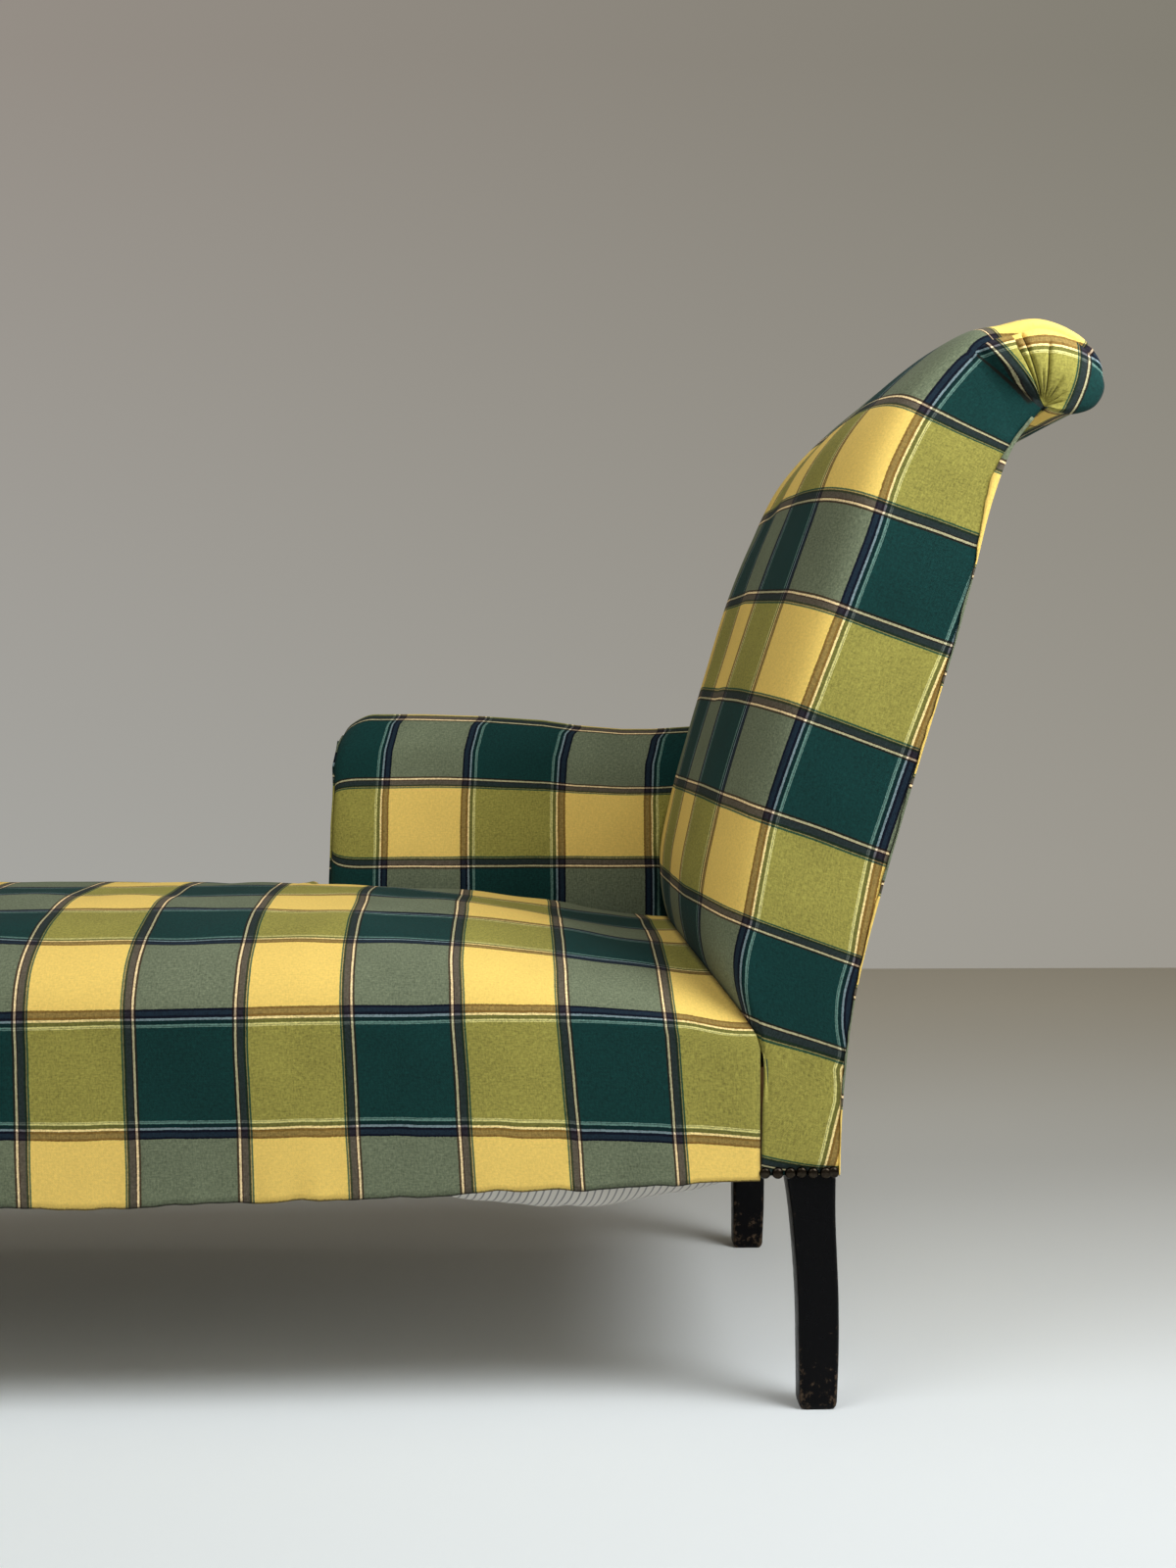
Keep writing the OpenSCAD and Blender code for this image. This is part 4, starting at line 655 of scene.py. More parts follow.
# The plaid: a woollen cloth woven in two fields each way, straw against lime and bottle green against grey,
# divided by narrow barred stripes. It gives the eye crisp thread-edged bars, a fine streaky mix of threads
# inside each field, and a dull, slightly furry surface. Threads are drawn 1.3 mm apart, a little coarser
# than they are, so that they show. A band of the warp or the weft has its start from the middle of its
# field, its yarns' part of the colour, and how much of the other one's yarns shows where they cross.
warp_bands = ((0.0, "917a32", 0.90), (0.0385, "243f2c", 0.48), (0.0397, "827041", 0.53), (0.0406, "121e13", 0.34),
              (0.0424, "1a1b21", 0.57), (0.0471, "1b0d0f", 0.39), (0.0482, "b2a07e", 0.63), (0.0500, "130d0b", 0.43),
              (0.0515, "00101a", 1.00))
weft_bands = ((0.0, "6e5e3c", 1.00), (0.0395, "040001", 0.83), (0.0417, "160f14", 0.84), (0.0453, "040001", 0.83),
              (0.0476, "75706c", 0.99), (0.0492, "02110a", 0.71), (0.0525, "606d5b", 0.86), (0.0539, "02110a", 0.71),
              (0.0545, "606d5b", 0.86), (0.0552, "0b1d11", 0.92))
eye_root = 2.2

plaid, tree, surface = new_finish("woollen_plaid")
place = add(tree, "UVMap", uv_map="cloth")
pull = add(tree, "TexNoise", {"Vector": place, "Scale": 7.0, "Detail": 2.0}, out="Color")
jitter = add(tree, "TexNoise", {"Vector": place, "Scale": 900.0, "Detail": 1.0}, out="Color")
moved = add(tree, "VectorMath", {0: pull, 1: (0.5, 0.5, 0.5)}, operation="SUBTRACT")
moved = add(tree, "VectorMath", {0: moved, 1: (0.005, 0.005, 0), 2: place}, operation="MULTIPLY_ADD")
frayed = add(tree, "VectorMath", {0: jitter, 1: (0.5, 0.5, 0.5)}, operation="SUBTRACT")
moved = add(tree, "VectorMath", {0: frayed, 1: (0.0009, 0.0009, 0), 2: moved}, operation="MULTIPLY_ADD")
split = add(tree, "SeparateXYZ", {"Vector": moved}).node
a_fold = add(tree, "Math", {0: split.outputs["X"], 1: a_half}, operation="PINGPONG")
b_fold = add(tree, "Math", {0: split.outputs["Y"], 1: b_half}, operation="PINGPONG")
yarns = []
for fold, half, bands in ((a_fold, a_half, warp_bands), (b_fold, b_half, weft_bands)):
    share = add(tree, "Math", {0: fold, 1: half}, operation="DIVIDE")
    yarns.append(add(tree, "ValToRGB", {"Fac": share}))
    ramp = yarns[-1].node.color_ramp
    ramp.interpolation = "CONSTANT"
    for start, code, shows in bands[1:]:
        ramp.elements.new(start / half).color = [*from_hex(code)[:3], shows]
    ramp.elements[0].color = [*from_hex(bands[0][1])[:3], bands[0][2]]
    ramp.elements.remove(ramp.elements[len(ramp.elements) - 1])
# The two yarns' parts are added in even steps to the eye, so their root is taken first and undone after
warp_part, weft_part = (add(tree, "Gamma", {"Color": yarn, "Gamma": 1 / eye_root}) for yarn in yarns)
weft_shows, warp_shows = (yarn.node.outputs["Alpha"] for yarn in yarns)
woven = add(tree, "VectorMath", {0: warp_part, 1: warp_shows}, operation="MULTIPLY")
woven = add(tree, "VectorMath", {0: weft_part, 1: weft_shows, 2: woven}, operation="MULTIPLY_ADD")
colour = add(tree, "Gamma", {"Color": woven, "Gamma": eye_root})
warp_place = add(tree, "Mapping", {"Vector": place, "Scale": (720, 230, 1)})
weft_place = add(tree, "Mapping", {"Vector": place, "Scale": (230, 720, 1)})
warp = add(tree, "TexNoise", {"Vector": warp_place, "Scale": 1.0, "Detail": 3.0, "Roughness": 0.6})
weft = add(tree, "TexNoise", {"Vector": weft_place, "Scale": 1.0, "Detail": 3.0, "Roughness": 0.6})
fleck = add(tree, "TexNoise", {"Vector": place, "Scale": 460.0, "Detail": 4.0, "Roughness": 0.7})
age = add(tree, "TexNoise", {"Vector": place, "Scale": 14.0, "Detail": 5.0, "Roughness": 0.6})
streak = add(tree, "Math", {0: warp, 1: weft}, operation="ADD")
streak = add(tree, "Math", {0: streak, 1: fleck}, operation="ADD")
streak = add(tree, "Math", {0: age, 1: 0.5, 2: streak}, operation="MULTIPLY_ADD")
value = add(tree, "MapRange", {"Value": streak, "From Min": 1.25, "From Max": 2.25, "To Min": 0.48, "To Max": 1.52})
plain_a = add(tree, "Math", {0: a_fold, 1: warp_bands[1][0]}, operation="LESS_THAN")
plain_b = add(tree, "Math", {0: b_fold, 1: weft_bands[1][0]}, operation="LESS_THAN")
plain = add(tree, "Math", {0: plain_a, 1: plain_b}, operation="MULTIPLY")
depth = add(tree, "Math", {0: plain, 1: -0.7, 2: 1.0}, operation="MULTIPLY_ADD")
value = add(tree, "Math", {0: value, 1: 1.0}, operation="SUBTRACT")
value = add(tree, "Math", {0: value, 1: depth, 2: 1.0}, operation="MULTIPLY_ADD")
colour = add(tree, "HueSaturation", {"Color": colour, "Value": value})
# Painted shade: the points marked on the seat's turned hem and in the back's pleats and tuck are painted towards a
# dark brown, broken up by the fleck noise
soiled = add(tree, "Attribute", out="Fac", attribute_name="soil")
soiled = add(tree, "Math", {0: fleck, 1: 0.5, 2: soiled}, operation="MULTIPLY_ADD")
soiled = add(tree, "MapRange", {"Value": soiled, "From Min": 0.92, "From Max": 1.12, "To Min": 0.0, "To Max": 0.85})
colour = add(tree, "Mix", {"Factor": soiled, "A": colour, "B": from_hex("1c1710")}, **in_colour)
thread_u = add(tree, "Math", {0: split.outputs["X"], 1: 4833.0}, operation="MULTIPLY")
thread_v = add(tree, "Math", {0: split.outputs["Y"], 1: 4833.0}, operation="MULTIPLY")
thread_u = add(tree, "Math", {0: thread_u}, operation="SINE")
thread_v = add(tree, "Math", {0: thread_v}, operation="SINE")
weave = add(tree, "Math", {0: thread_u, 1: thread_v}, operation="MULTIPLY")
relief = add(tree, "Math", {0: streak, 1: 1.2, 2: weave}, operation="MULTIPLY_ADD")
bump = add(tree, "Bump", {"Height": relief, "Strength": 0.22, "Distance": 0.0005})
shader = add(tree, "BsdfPrincipled", {"Base Color": colour, "Roughness": 0.88, "Normal": bump,
                                      "Specular IOR Level": 0.15, "Sheen Weight": 0.03, "Sheen Roughness": 0.5})
tree.links.new(shader, surface.inputs["Surface"])
seat.data.materials.append(plaid)

# The back: one length of the same cloth over hair stuffing, from the crevice up the front and over the
# scroll. Its sides are folded round the corner on to flat side panels, and over the scroll's end they are
# drawn together in pleats to one point.
side_cols, crown_cols = 24, 150
back_stations = np.concatenate([np.linspace(0, 11.6, 150), np.linspace(11.6, 14.4, 141)[1:],
                                np.linspace(14.4, last_station, 60)[1:]])
crown_t = np.linspace(0, 1, crown_cols + 1)
crown_angle = np.pi * (crown_t - 0.13 * np.sin(2 * np.pi * crown_t))
starts = blend_of(1.9, 2.6, abs(np.sin(crown_angle)) ** skin_fullness)


def back_rows(first_column_start):
    """Stations of every row of a column of the crown: they start later towards the middle, where the back
    runs down into the crevice behind the seat."""
    return np.maximum(back_stations[:, None], first_column_start[None, :] + 0.05 * back_stations[:, None])


crown_stations = back_rows(starts)
fullness = blend_of(skin_fullness, 0.55, eased((crown_stations - 8) / 4))
crown_lift = abs(np.sin(crown_angle)) ** fullness * (1 - 1.9 * eased((crown_stations - 15.8) / 1.6))
crown_y = -np.sign(np.cos(crown_angle)) * abs(np.cos(crown_angle)) ** fullness
crown_xz = back_skin(crown_stations, crown_lift)
crown = xyz(crown_xz[..., 0], middle_y + crown_y * half_cover, crown_xz[..., 1])
edge_share = np.linspace(0, 1, side_cols + 1)[:-1]
rear_xz, corner_xz = rear_of_back(back_stations), curve_through(corner_line, back_stations)
panel_xz = blend_of(rear_xz[:, None], corner_xz[:, None], edge_share[None, :, None])
seam_lap = eased((edge_share - 0.5) / 0.5) * eased((2.9 - back_stations[:, None]) / 0.9)
panel_xz[..., 0] -= 0.0048 * seam_lap
nailed_in = eased((0.2095 - panel_xz[..., 1]) / 0.003)
panel_y = middle_y - half_cover - 0.0009 * seam_lap + 0.0012 * nailed_in
near_panel = xyz(panel_xz[..., 0], panel_y, panel_xz[..., 1])
far_panel = near_panel[:, ::-1] * [1, 0, 1] + [0, middle_y + half_cover, 0]
back_grid = np.concatenate([near_panel, crown, far_panel], 1)

# How the plaid lies on the back: its cross bars meet the corner at these stations, and its first length
# bar follows the corner, except low down, where the panel narrows and the bars fan
bar_stations = [0.06, 2.37, 3.87, 5.32, 6.53, 7.94, 9.41, 10.91, 12.4, 15.4, 18.9]
bar_u = a_half * (np.arange(len(bar_stations)) - 0.5)
station_u = np.interp(back_stations, bar_stations, bar_u)
station_u += np.minimum(back_stations - bar_stations[0], 0) * 0.045
station_u += np.maximum(back_stations - bar_stations[-1], 0) * 0.02
edge_v = np.interp(back_stations, [0, 0.2, 1.5, 2.07, 2.37, 3, 3.9, 5.3, 6.5, 8, 9.4, 12, 12.4, 13, 14, 15, 16, 17],
                   [-0.0435, -0.0413, -0.0273, -0.025, -0.014, -0.008, -0.004, -0.006, -0.001, 0.004, 0.004, 0.0025,
                    0.004, 0.007, 0.014, 0.0076, -0.0046, -0.010])
panel_depth = np.linalg.norm(corner_xz - rear_xz, axis=1)
cream_line = 0.0486
near_v = edge_v[:, None] - panel_depth[:, None] * (1 - edge_share) - cream_line
crown_arc = steps_along(crown, 1)
crown_u = np.interp(crown_stations, back_stations, station_u)
crown_v = np.interp(crown_stations, back_stations, edge_v) + crown_arc - cream_line
panel_u = np.repeat(station_u[:, None], side_cols, 1)
fanned = 0.019 * np.exp(-back_stations / 0.6)[:, None] * (edge_share ** 2)
far_v = crown_v[:, -1:] + panel_depth[:, None] * (1 - edge_share[::-1])
back_uv = np.stack([np.concatenate([panel_u - fanned, crown_u, panel_u], 1),
                    np.concatenate([near_v, crown_v, far_v], 1)], -1)

# Over the scroll's end the cloth keeps its straight threads: between the deep fold and the first pleat they
# run slanting, and beyond it upright, so the bars on the end are reckoned from its X and Z
end_x, end_z = back_grid[..., 0], back_grid[..., 2]
end_from, fold_station, first_pleat = 11.2, 11.87, 12.97
dx, dz, gathered = end_x - 0.7162, end_z - 0.8927, 0.925
slanting = np.stack([0.6828 + (0.787 * dx + 0.617 * dz) / gathered,
                     (0.963 * dz - 0.271 * dx) / gathered - cream_line], -1)
lean = 0.0139 * (np.maximum(0.891 - end_z, 0) / 0.049) ** 2
upright = np.stack([0.7812 + end_x - 0.7993 + lean,
                    end_z - 0.895 + 0.014 * ((end_x - 0.762) / 0.048) ** 2 - cream_line], -1)
cell_station = ((back_stations[1:] + back_stations[:-1]) / 2)[:, None]
cell_column = np.arange(back_grid.shape[1] - 1)[None, :]
far_cells = cell_column >= back_grid.shape[1] - 1 - side_cols
near_cells = cell_column < side_cols
breaks = []
for cells, uv_there in (((cell_station > fold_station) & (cell_station <= first_pleat), slanting),
                        (cell_station > first_pleat, upright)):
    mirrored_v = crown_v[:, -1:] + (edge_v[:, None] - cream_line) - uv_there[..., 1]
    mirrored = np.stack([uv_there[..., 0], mirrored_v], -1)
    breaks += [(cells & near_cells, uv_there), (cells & far_cells, mirrored)]

# The pleats are sharp valleys in the end face along rays from the gather: where each meets the corner line,
# how far out it reaches, its depth and its half width
station = back_stations[:, None]
station_run = 0.030
pleats = ((11.87, 1.20, 0.0085, 0.0022), (12.45, 0.50, 0.0020, 0.0015), (12.97, 0.96, 0.0048, 0.0016),
          (13.28, 1.20, 0.0048, 0.0015), (13.70, 0.50, 0.0024, 0.0015), (14.12, 0.88, 0.0040, 0.0014),
          (14.60, 0.40, 0.0020, 0.0015), (15.10, 0.50, 0.0034, 0.0018), (16.20, 0.40, 0.0022, 0.0020),
          (17.30, 0.35, 0.0022, 0.0020))
valley = sum(depth * np.exp(-(abs(station - at) * station_run * edge_share / half_width) ** 1.3)
             * eased((reach - edge_share) / 0.14) for at, reach, depth, half_width in pleats)
arched = np.sin(np.pi * edge_share)[None, :]
puffed = 0.0105 * eased((station - fold_station) / 0.22) * arched ** 0.6
end_lift = np.maximum(puffed - valley, -0.0014) * (station > end_from)
uneven = 0.0010 * smooth_noise(panel_xz[..., 0], panel_xz[..., 1], 21, coarse=3, fine=10) * arched * (1 - nailed_in)
back_grid[:, :side_cols, 1] -= end_lift + uneven
back_grid[:, -side_cols:, 1] += (end_lift + uneven)[:, ::-1]
all_stations = np.ones(crown_stations.shape)
normal_out = back_skin(crown_stations, all_stations) - back_skin(crown_stations, 0 * all_stations)
normal_out = normal_out / np.maximum(np.linalg.norm(normal_out, axis=-1, keepdims=True), 1e-6)
swell = 0.0016 * smooth_noise(crown[..., 1], crown_stations * 0.05, 22, coarse=1.5, fine=7)
swell = swell * (crown_lift * eased((station - 3.2) / 1))
from_rim = np.minimum(crown_arc, crown_arc[:, -1:] - crown_arc)
for at, reach, depth in ((11.80, 0.012, 0.0042), (13.28, 0.005, 0.0020)):
    crease = np.exp(-(abs(station - at) * station_run / 0.0022) ** 1.3)
    swell -= depth * crease * eased(1 - from_rim / reach) * eased(from_rim / 0.002)
back_grid[:, side_cols:-side_cols, 0] += swell * normal_out[..., 0]
back_grid[:, side_cols:-side_cols, 2] += swell * normal_out[..., 1]

# Behind the stuffing the cover closes flat in front of the posts and round the crest rail
lining_xz = curve_through(core_line, np.maximum(back_stations, 2.0)) + 0.003 * np.array([-1, 0.3])
lining_half = half_frame - 0.001 - 0.016 * eased((back_stations - 10.9) / 0.4)
lining_w = np.array([-1, -0.3, 0.3, 1])
lining = xyz(lining_xz[:, :1], middle_y + lining_w * lining_half[:, None], lining_xz[:, 1:])

# Painted shade: the pleats over the scroll's end, and the narrow tuck where the side panel meets the seat, are marked
# to be painted dark where shade falls in them
crease_soil = np.zeros(back_grid.shape[:2])
in_crease = sum(np.exp(-(abs(station - at) * 2 * station_run * np.maximum(edge_share, 0.12) / half_width) ** 2)
                * eased((reach - edge_share) / 0.2) for at, reach, depth, half_width in pleats)
crease_soil[:, :side_cols] = np.clip(in_crease, 0, 1) * eased(edge_share / 0.2) * (station > end_from)
crease_soil[:, -side_cols:] = crease_soil[:, side_cols - 1::-1]
tuck_col = side_cols - 2
tuck_z = panel_xz[:, tuck_col, 1]
tuck = eased((tuck_z - 0.258) / 0.008) * eased((0.308 - tuck_z) / 0.012)
crease_soil[:, tuck_col] = np.maximum(crease_soil[:, tuck_col], 0.8 * tuck)
back_grid[:, tuck_col, 1] += 0.0016 * tuck
back = closed_pad("back_in_plaid", back_grid, lining, back_uv, breaks, crease_soil)
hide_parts("back_cover", "back_pad")
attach(back, "root")
back.data.materials.append(plaid)

# The outside back: a separate length of the plaid, stretched from the rail's lower edge up behind the posts
# and sewn by hand to the side panels.
outside_stations = np.linspace(0, scroll_station - 0.4, 150)
outside_xz = rear_of_back(outside_stations)
outside_x, outside_z = outside_xz.T
wrap = np.interp(outside_z, [0.655, 0.713, 0.726, 0.750, 0.775, 0.795, 0.812, 0.840],
                 [0.0012, 0.0012, 0.0020, 0.0040, 0.0056, 0.0056, 0.0030, 0.0010])
wrap = wrap + 0.0008 * smooth_noise(outside_z, 0 * outside_z, 41, coarse=9, fine=60)
wrap = np.clip(wrap, 0.0006, 0.009) * eased((outside_z - 0.225) / 0.03)
lap, over_side = np.array([1.0, 0.5, 0.06]), 0.0008
heading = curve_through(corner_line, outside_stations) - outside_xz
heading = heading / np.linalg.norm(heading, axis=1)[:, None]
side_lap = outside_xz[:, None] + heading[:, None] * (wrap[:, None] * lap)[..., None]
near_lap = xyz(side_lap[..., 0], middle_y - half_cover - over_side, side_lap[..., 1])
far_lap = near_lap[:, ::-1] * [1, 0, 1] + [0, middle_y + half_cover + over_side, 0]
behind_y = middle_y + np.linspace(-1, 1, 60) * (half_cover - 0.0004)
behind = xyz(outside_x[:, None], behind_y, outside_z[:, None])
outside_grid = np.concatenate([near_lap, behind, far_lap], 1)
run = steps_along(behind, 0)[:, :1]
width_v = steps_along(outside_grid, 1)
outside_uv = np.stack(np.broadcast_arrays(run - 0.566, width_v - 0.006), -1)
outside_back = sheet_piece("outside_back_in_plaid", outside_grid, outside_uv, 0.0012, 0)
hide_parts("outside_back_panel")
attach(outside_back, "root")
outside_back.data.materials.append(plaid)

# The arm: a short stuffed half arm on the far side, that leans in as it rises and rolls over outwards, with
# the plaid's cross bars lying along it. Its bars are counted from this place on its inner face.
arm_height, roll_width = 0.588, 0.145
arm_bar_x, arm_bar_z = 0.2255, 0.473
arm_rise = arm_height - arm_base
arm_shares = np.array([[0.000, 0.000], [0.000, 0.148], [0.048, 0.322], [0.166, 0.522], [0.276, 0.704], [0.400, 0.878],
                       [0.628, 1.000], [0.883, 0.935], [1.000, 0.765], [0.924, 0.617], [0.772, 0.556]])
arm_middle = np.array([arm_inner + 0.52 * roll_width, arm_base + 0.50 * arm_rise])


def front_x(y, z):
    """X of the back's front at width y and height z, found by halving the span of stations eighteen times."""
    s = skin_share(y)
    low, high = np.full(y.shape, 1.0), np.full(y.shape, float(scroll_station))
    for _ in range(18):
        mid = (low + high) / 2
        below = back_skin(mid, s)[..., 1] < z
        low, high = np.where(below, mid, low), np.where(below, high, mid)
    return back_skin((low + high) / 2, s)[..., 0]


ring_count, front_steps = 90, 12
ring_station = np.linspace(0, len(arm_shares) - 1, ring_count)
ring = curve_through(arm_shares, ring_station) * [roll_width, arm_rise] + [arm_inner, arm_base]
ring_y, ring_z = ring.T
quarter = np.linspace(0, np.pi / 2, front_steps)
grow = np.concatenate([np.linspace(0.55, 0.8, 5)[:-1], 1 - 0.2 * (1 - np.sin(quarter)) ** 1.3])
grow_x = arm_front_x + cloth + np.concatenate([np.zeros(4), 0.034 * (1 - np.cos(quarter))])
arm_end = front_x(ring_y, ring_z) - 0.006
arm_t = np.linspace(0, 1, 60)[1:]
rounded = [xyz(at, *(arm_middle + (ring - arm_middle) * g).T) for g, at in zip(grow, grow_x)]
straight = [xyz(blend_of(grow_x[-1], arm_end, t), ring_y, ring_z) for t in arm_t]
arm_grid = np.array(rounded + straight)
arm_grid[..., 2] = np.maximum(arm_grid[..., 2], arm_base)
x = arm_grid[..., 0]
ring_arc = steps_along(ring, 0)
face_mark = np.interp(arm_bar_z, ring_z[:30], ring_arc[:30])
third_bar = 0.0075 * eased((ring_arc - ring_arc[0] - 0.165) / 0.05)
arm_u = np.broadcast_to(ring_arc - face_mark + third_bar, arm_grid.shape[:2])
bar_lean = np.interp(np.maximum.accumulate(ring_z), [0.50, 0.549, 0.577, 0.586], [0, 0.003, 0.010, 0.018])
bar_shift = np.interp(x, [0.178, 0.261, 0.365, 0.462], [0.002, 0.005, 0.003, -0.003])
arm_v = x + bar_shift - arm_bar_x - bar_lean
arm_run = steps_along(arm_grid, 0)
flat_from = len(grow)
arm_v[:flat_from] = arm_v[flat_from] - (arm_run[flat_from] - arm_run[:flat_from])
hollow = 0.0016 * smooth_noise(x, arm_u, 31, coarse=2, fine=9)
hollow = hollow * eased((x - 0.15) / 0.05) * eased((arm_end - 0.02 - x) / 0.06)
arm_grid[..., 1] -= hollow * np.sin(np.pi * np.linspace(0, 1, ring_count)) ** 0.5
pull_z = [0.404, 0.44, 0.47, 0.506, 0.532, 0.555, 0.5756, 0.588]
pull_x = [0, 0.001, 0.001, 0.0025, 0.001, 0.005, 0.013, 0.022]
front_pull = np.interp(arm_grid[..., 2], pull_z, pull_x)
arm_grid[..., 0] += front_pull * eased(1 - (x - arm_front_x) / 0.07)
sag = np.interp(x, [0.22, 0.281, 0.35, 0.385, 0.436, 0.47, 0.5176], [0, 0.002, 0.0064, 0.0118, 0.016, 0.016, 0.0129])
arm_grid[..., 2] -= sag * eased((arm_grid[..., 2] - 0.46) / 0.1)
wood_y, wood_radius, wood_top = arm_outer - 0.046, 0.023, 0.558
wood = np.array([[wood_y - 0.0013, arm_base], [wood_y - 0.0013, wood_top - wood_radius],
                 [wood_y + wood_radius * 0.3, wood_top - 0.006], [wood_y + wood_radius, wood_top + 0.0013],
                 [arm_outer - 0.006, wood_top - 0.008], [arm_outer + 0.0013, wood_top - wood_radius]])
lining_x = np.minimum(x[:, ring_count // 2, None], front_x(*wood.T) - 0.011)
lining = xyz(lining_x + 0.001, *wood.T)
arm = closed_pad("arm_in_plaid", arm_grid, lining, np.stack([arm_u, arm_v], -1))
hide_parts("arm_cover", "arm_pad")
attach(arm, "root")
arm.data.materials.append(plaid)

# The arm's front is closed by a small facing: a piece of the plaid over card, cut to the shape of the stuffed
# roll, its edge turned in and sewn round by hand.
facing_ring = np.vstack([arm_middle + (ring - arm_middle) * 0.8, [[0.3068, arm_base]]])
facing_ring[:, 1] = np.maximum(facing_ring[:, 1], arm_base)
facing_rows = np.array([xyz(at, *(arm_middle + (facing_ring - arm_middle) * g).T)
                        for at, g in ((0.1219, 1.0), (0.1207, 1.0), (0.1201, 0.985), (0.1200, 0.96))])
facing_rows[..., 2] = np.maximum(facing_rows[..., 2], arm_base)
facing_rows[..., 0] += np.interp(facing_rows[..., 2], pull_z, pull_x)
count = len(facing_ring)
facing_faces = grid_quads(4, count, wrap=True).tolist() + [list(range(count)), list(range(3 * count, 4 * count))]
facing_uv = np.stack([facing_rows[..., 2] - arm_bar_z, facing_rows[..., 1] - 0.21 + b_half], -1).reshape(-1, 2)
facing_uv = facing_uv[np.concatenate([np.array(face) for face in facing_faces])]
facing = mesh_piece("arm_front_in_plaid", facing_rows, facing_faces, uv=facing_uv, smooth=False)
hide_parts("arm_front_facing")
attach(facing, "root")
facing.data.materials.append(plaid)

# The outside of the arm is a flat length of the plaid over the bare frame. It is stretched from under the
# roll down over the seat rail, and tacked there.
panel_z = np.linspace(rail_under, 0.4845, 60)
panel_from = 0.1077 + 0.0125 * eased((panel_z - 0.36) / 0.04)
panel_to = np.interp(panel_z, [0.2, 0.3235, 0.3564, 0.3849, 0.4102, 0.4385, 0.4693, 0.4847],
                     [0.5250, 0.5204, 0.5102, 0.5073, 0.5103, 0.5150, 0.5217, 0.5254])
x = panel_from[:, None] + (panel_to - panel_from)[:, None] * np.linspace(0, 1, 60)
z = np.repeat(panel_z[:, None], 60, 1)
y = 0.3093 + 0.0006 * smooth_noise(x, z, 51, coarse=3, fine=10)
outside_uv = np.stack([z - arm_bar_z, x - arm_bar_x], -1)
arm_outside = sheet_piece("outside_arm_in_plaid", xyz(x, y, z), outside_uv, 0.0012, 0)
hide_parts("outside_arm_panel")
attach(arm_outside, "root")
arm_outside.data.materials.append(plaid)

# The nails: domed heads of bronzed brass, nearly black, driven close together along the bottom of each side
# panel, the last one on the rear corner. No two sit quite alike, and each is painted lighter towards its crown,
# as thinner lacquer there and as a painted highlight.
nail_places = np.array([0.5292, 0.5399, 0.5505, 0.5599, 0.5697, 0.5803, 0.5868])
nail_radius, nail_dome, nail_line = 0.0049, 0.0034, 0.2020
nail_y = half_cover - 0.0005


def nail_heads(name, side):
    """Domes in a row: at angle t from the crown, a point stands out by the cosine of t and away from the axis
    by its sine, raised to the power 0.8 so that the rim is full. The far side's row is the mirror image."""
    count = len(nail_places)
    out_of_line = np.random.default_rng(61).uniform(-1, 1, (3, count))
    t = np.linspace(0, np.pi / 2, 11)[1:]
    turn = np.linspace(0, 2 * np.pi, 28, endpoint=False)
    away, proud = np.append(np.sin(t) ** 0.8, 0.94), np.append(np.cos(t), -0.14)
    size = nail_radius * (1 + 0.03 * out_of_line[0])[:, None, None]
    tip = 0.10 * out_of_line[1][:, None, None]
    x = nail_places[:, None, None] + size * away[:, None] * np.cos(turn)
    z = nail_line + 0.0003 * out_of_line[2][:, None, None] + size * away[:, None] * np.sin(turn)
    rise = nail_dome * proud[:, None] + tip * size * away[:, None] * np.sin(turn)
    crown = xyz(nail_places, middle_y + side * (nail_y + nail_dome), z.mean((1, 2)))
    points = np.concatenate([xyz(x, middle_y + side * (nail_y + rise), z).reshape(-1, 3), crown])
    block = len(away) * len(turn)
    faces = []
    for k in range(count):
        faces += grid_quads(len(away), len(turn), wrap=True, first=k * block).tolist()
        faces += [[k * block + c, k * block + (c + 1) % len(turn), count * block + k] for c in range(len(turn))]
        faces.append([(k + 1) * block - len(turn) + c for c in range(len(turn))])
    # Share of the crown's lighter paint at each point, a painted highlight as well as thinner lacquer: highest at the
    # crown, none at the rim
    rubbed = np.append(np.tile(np.repeat(proud, len(turn)), count), np.ones(count))
    piece = mesh_piece(name, points, faces, rubbed=rubbed)
    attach(piece, "root")
    return piece


near_nails, far_nails = nail_heads("near_bronzed_nails", -1), nail_heads("far_bronzed_nails", 1)
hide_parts("near_back_nails")
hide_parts("far_back_nails")

# Bronzed brass: a dark brown lacquer over metal, broken by small pits, and painted lighter towards the crowns, both
# as thinner lacquer and as a painted highlight.
bronze, tree, surface = new_finish("bronzed_brass_nail")
place = add(tree, "TexCoord", out="Object")
patina = add(tree, "TexNoise", {"Vector": place, "Scale": 480.0, "Detail": 5.0, "Roughness": 0.65})
rubbed = add(tree, "Attribute", out="Fac", attribute_name="rubbed")
thin_and_highlight = add(tree, "Math", {0: rubbed, 1: 0.45, 2: patina}, operation="MULTIPLY_ADD")
thin_and_highlight = add(tree, "MapRange", {"Value": thin_and_highlight, "From Min": 0.55, "From Max": 1.05})
colour = add(tree, "Mix", {"Factor": thin_and_highlight, "A": from_hex("0d0b09"), "B": from_hex("3a332a")}, **in_colour)
bump = add(tree, "Bump", {"Height": patina, "Strength": 0.35, "Distance": 0.0004})
shader = add(tree, "BsdfPrincipled", {"Base Color": colour, "Metallic": 1.0, "Roughness": 0.26, "Normal": bump})
tree.links.new(shader, surface.inputs["Surface"])
for piece in (near_nails, far_nails):
    piece.data.materials.append(bronze)

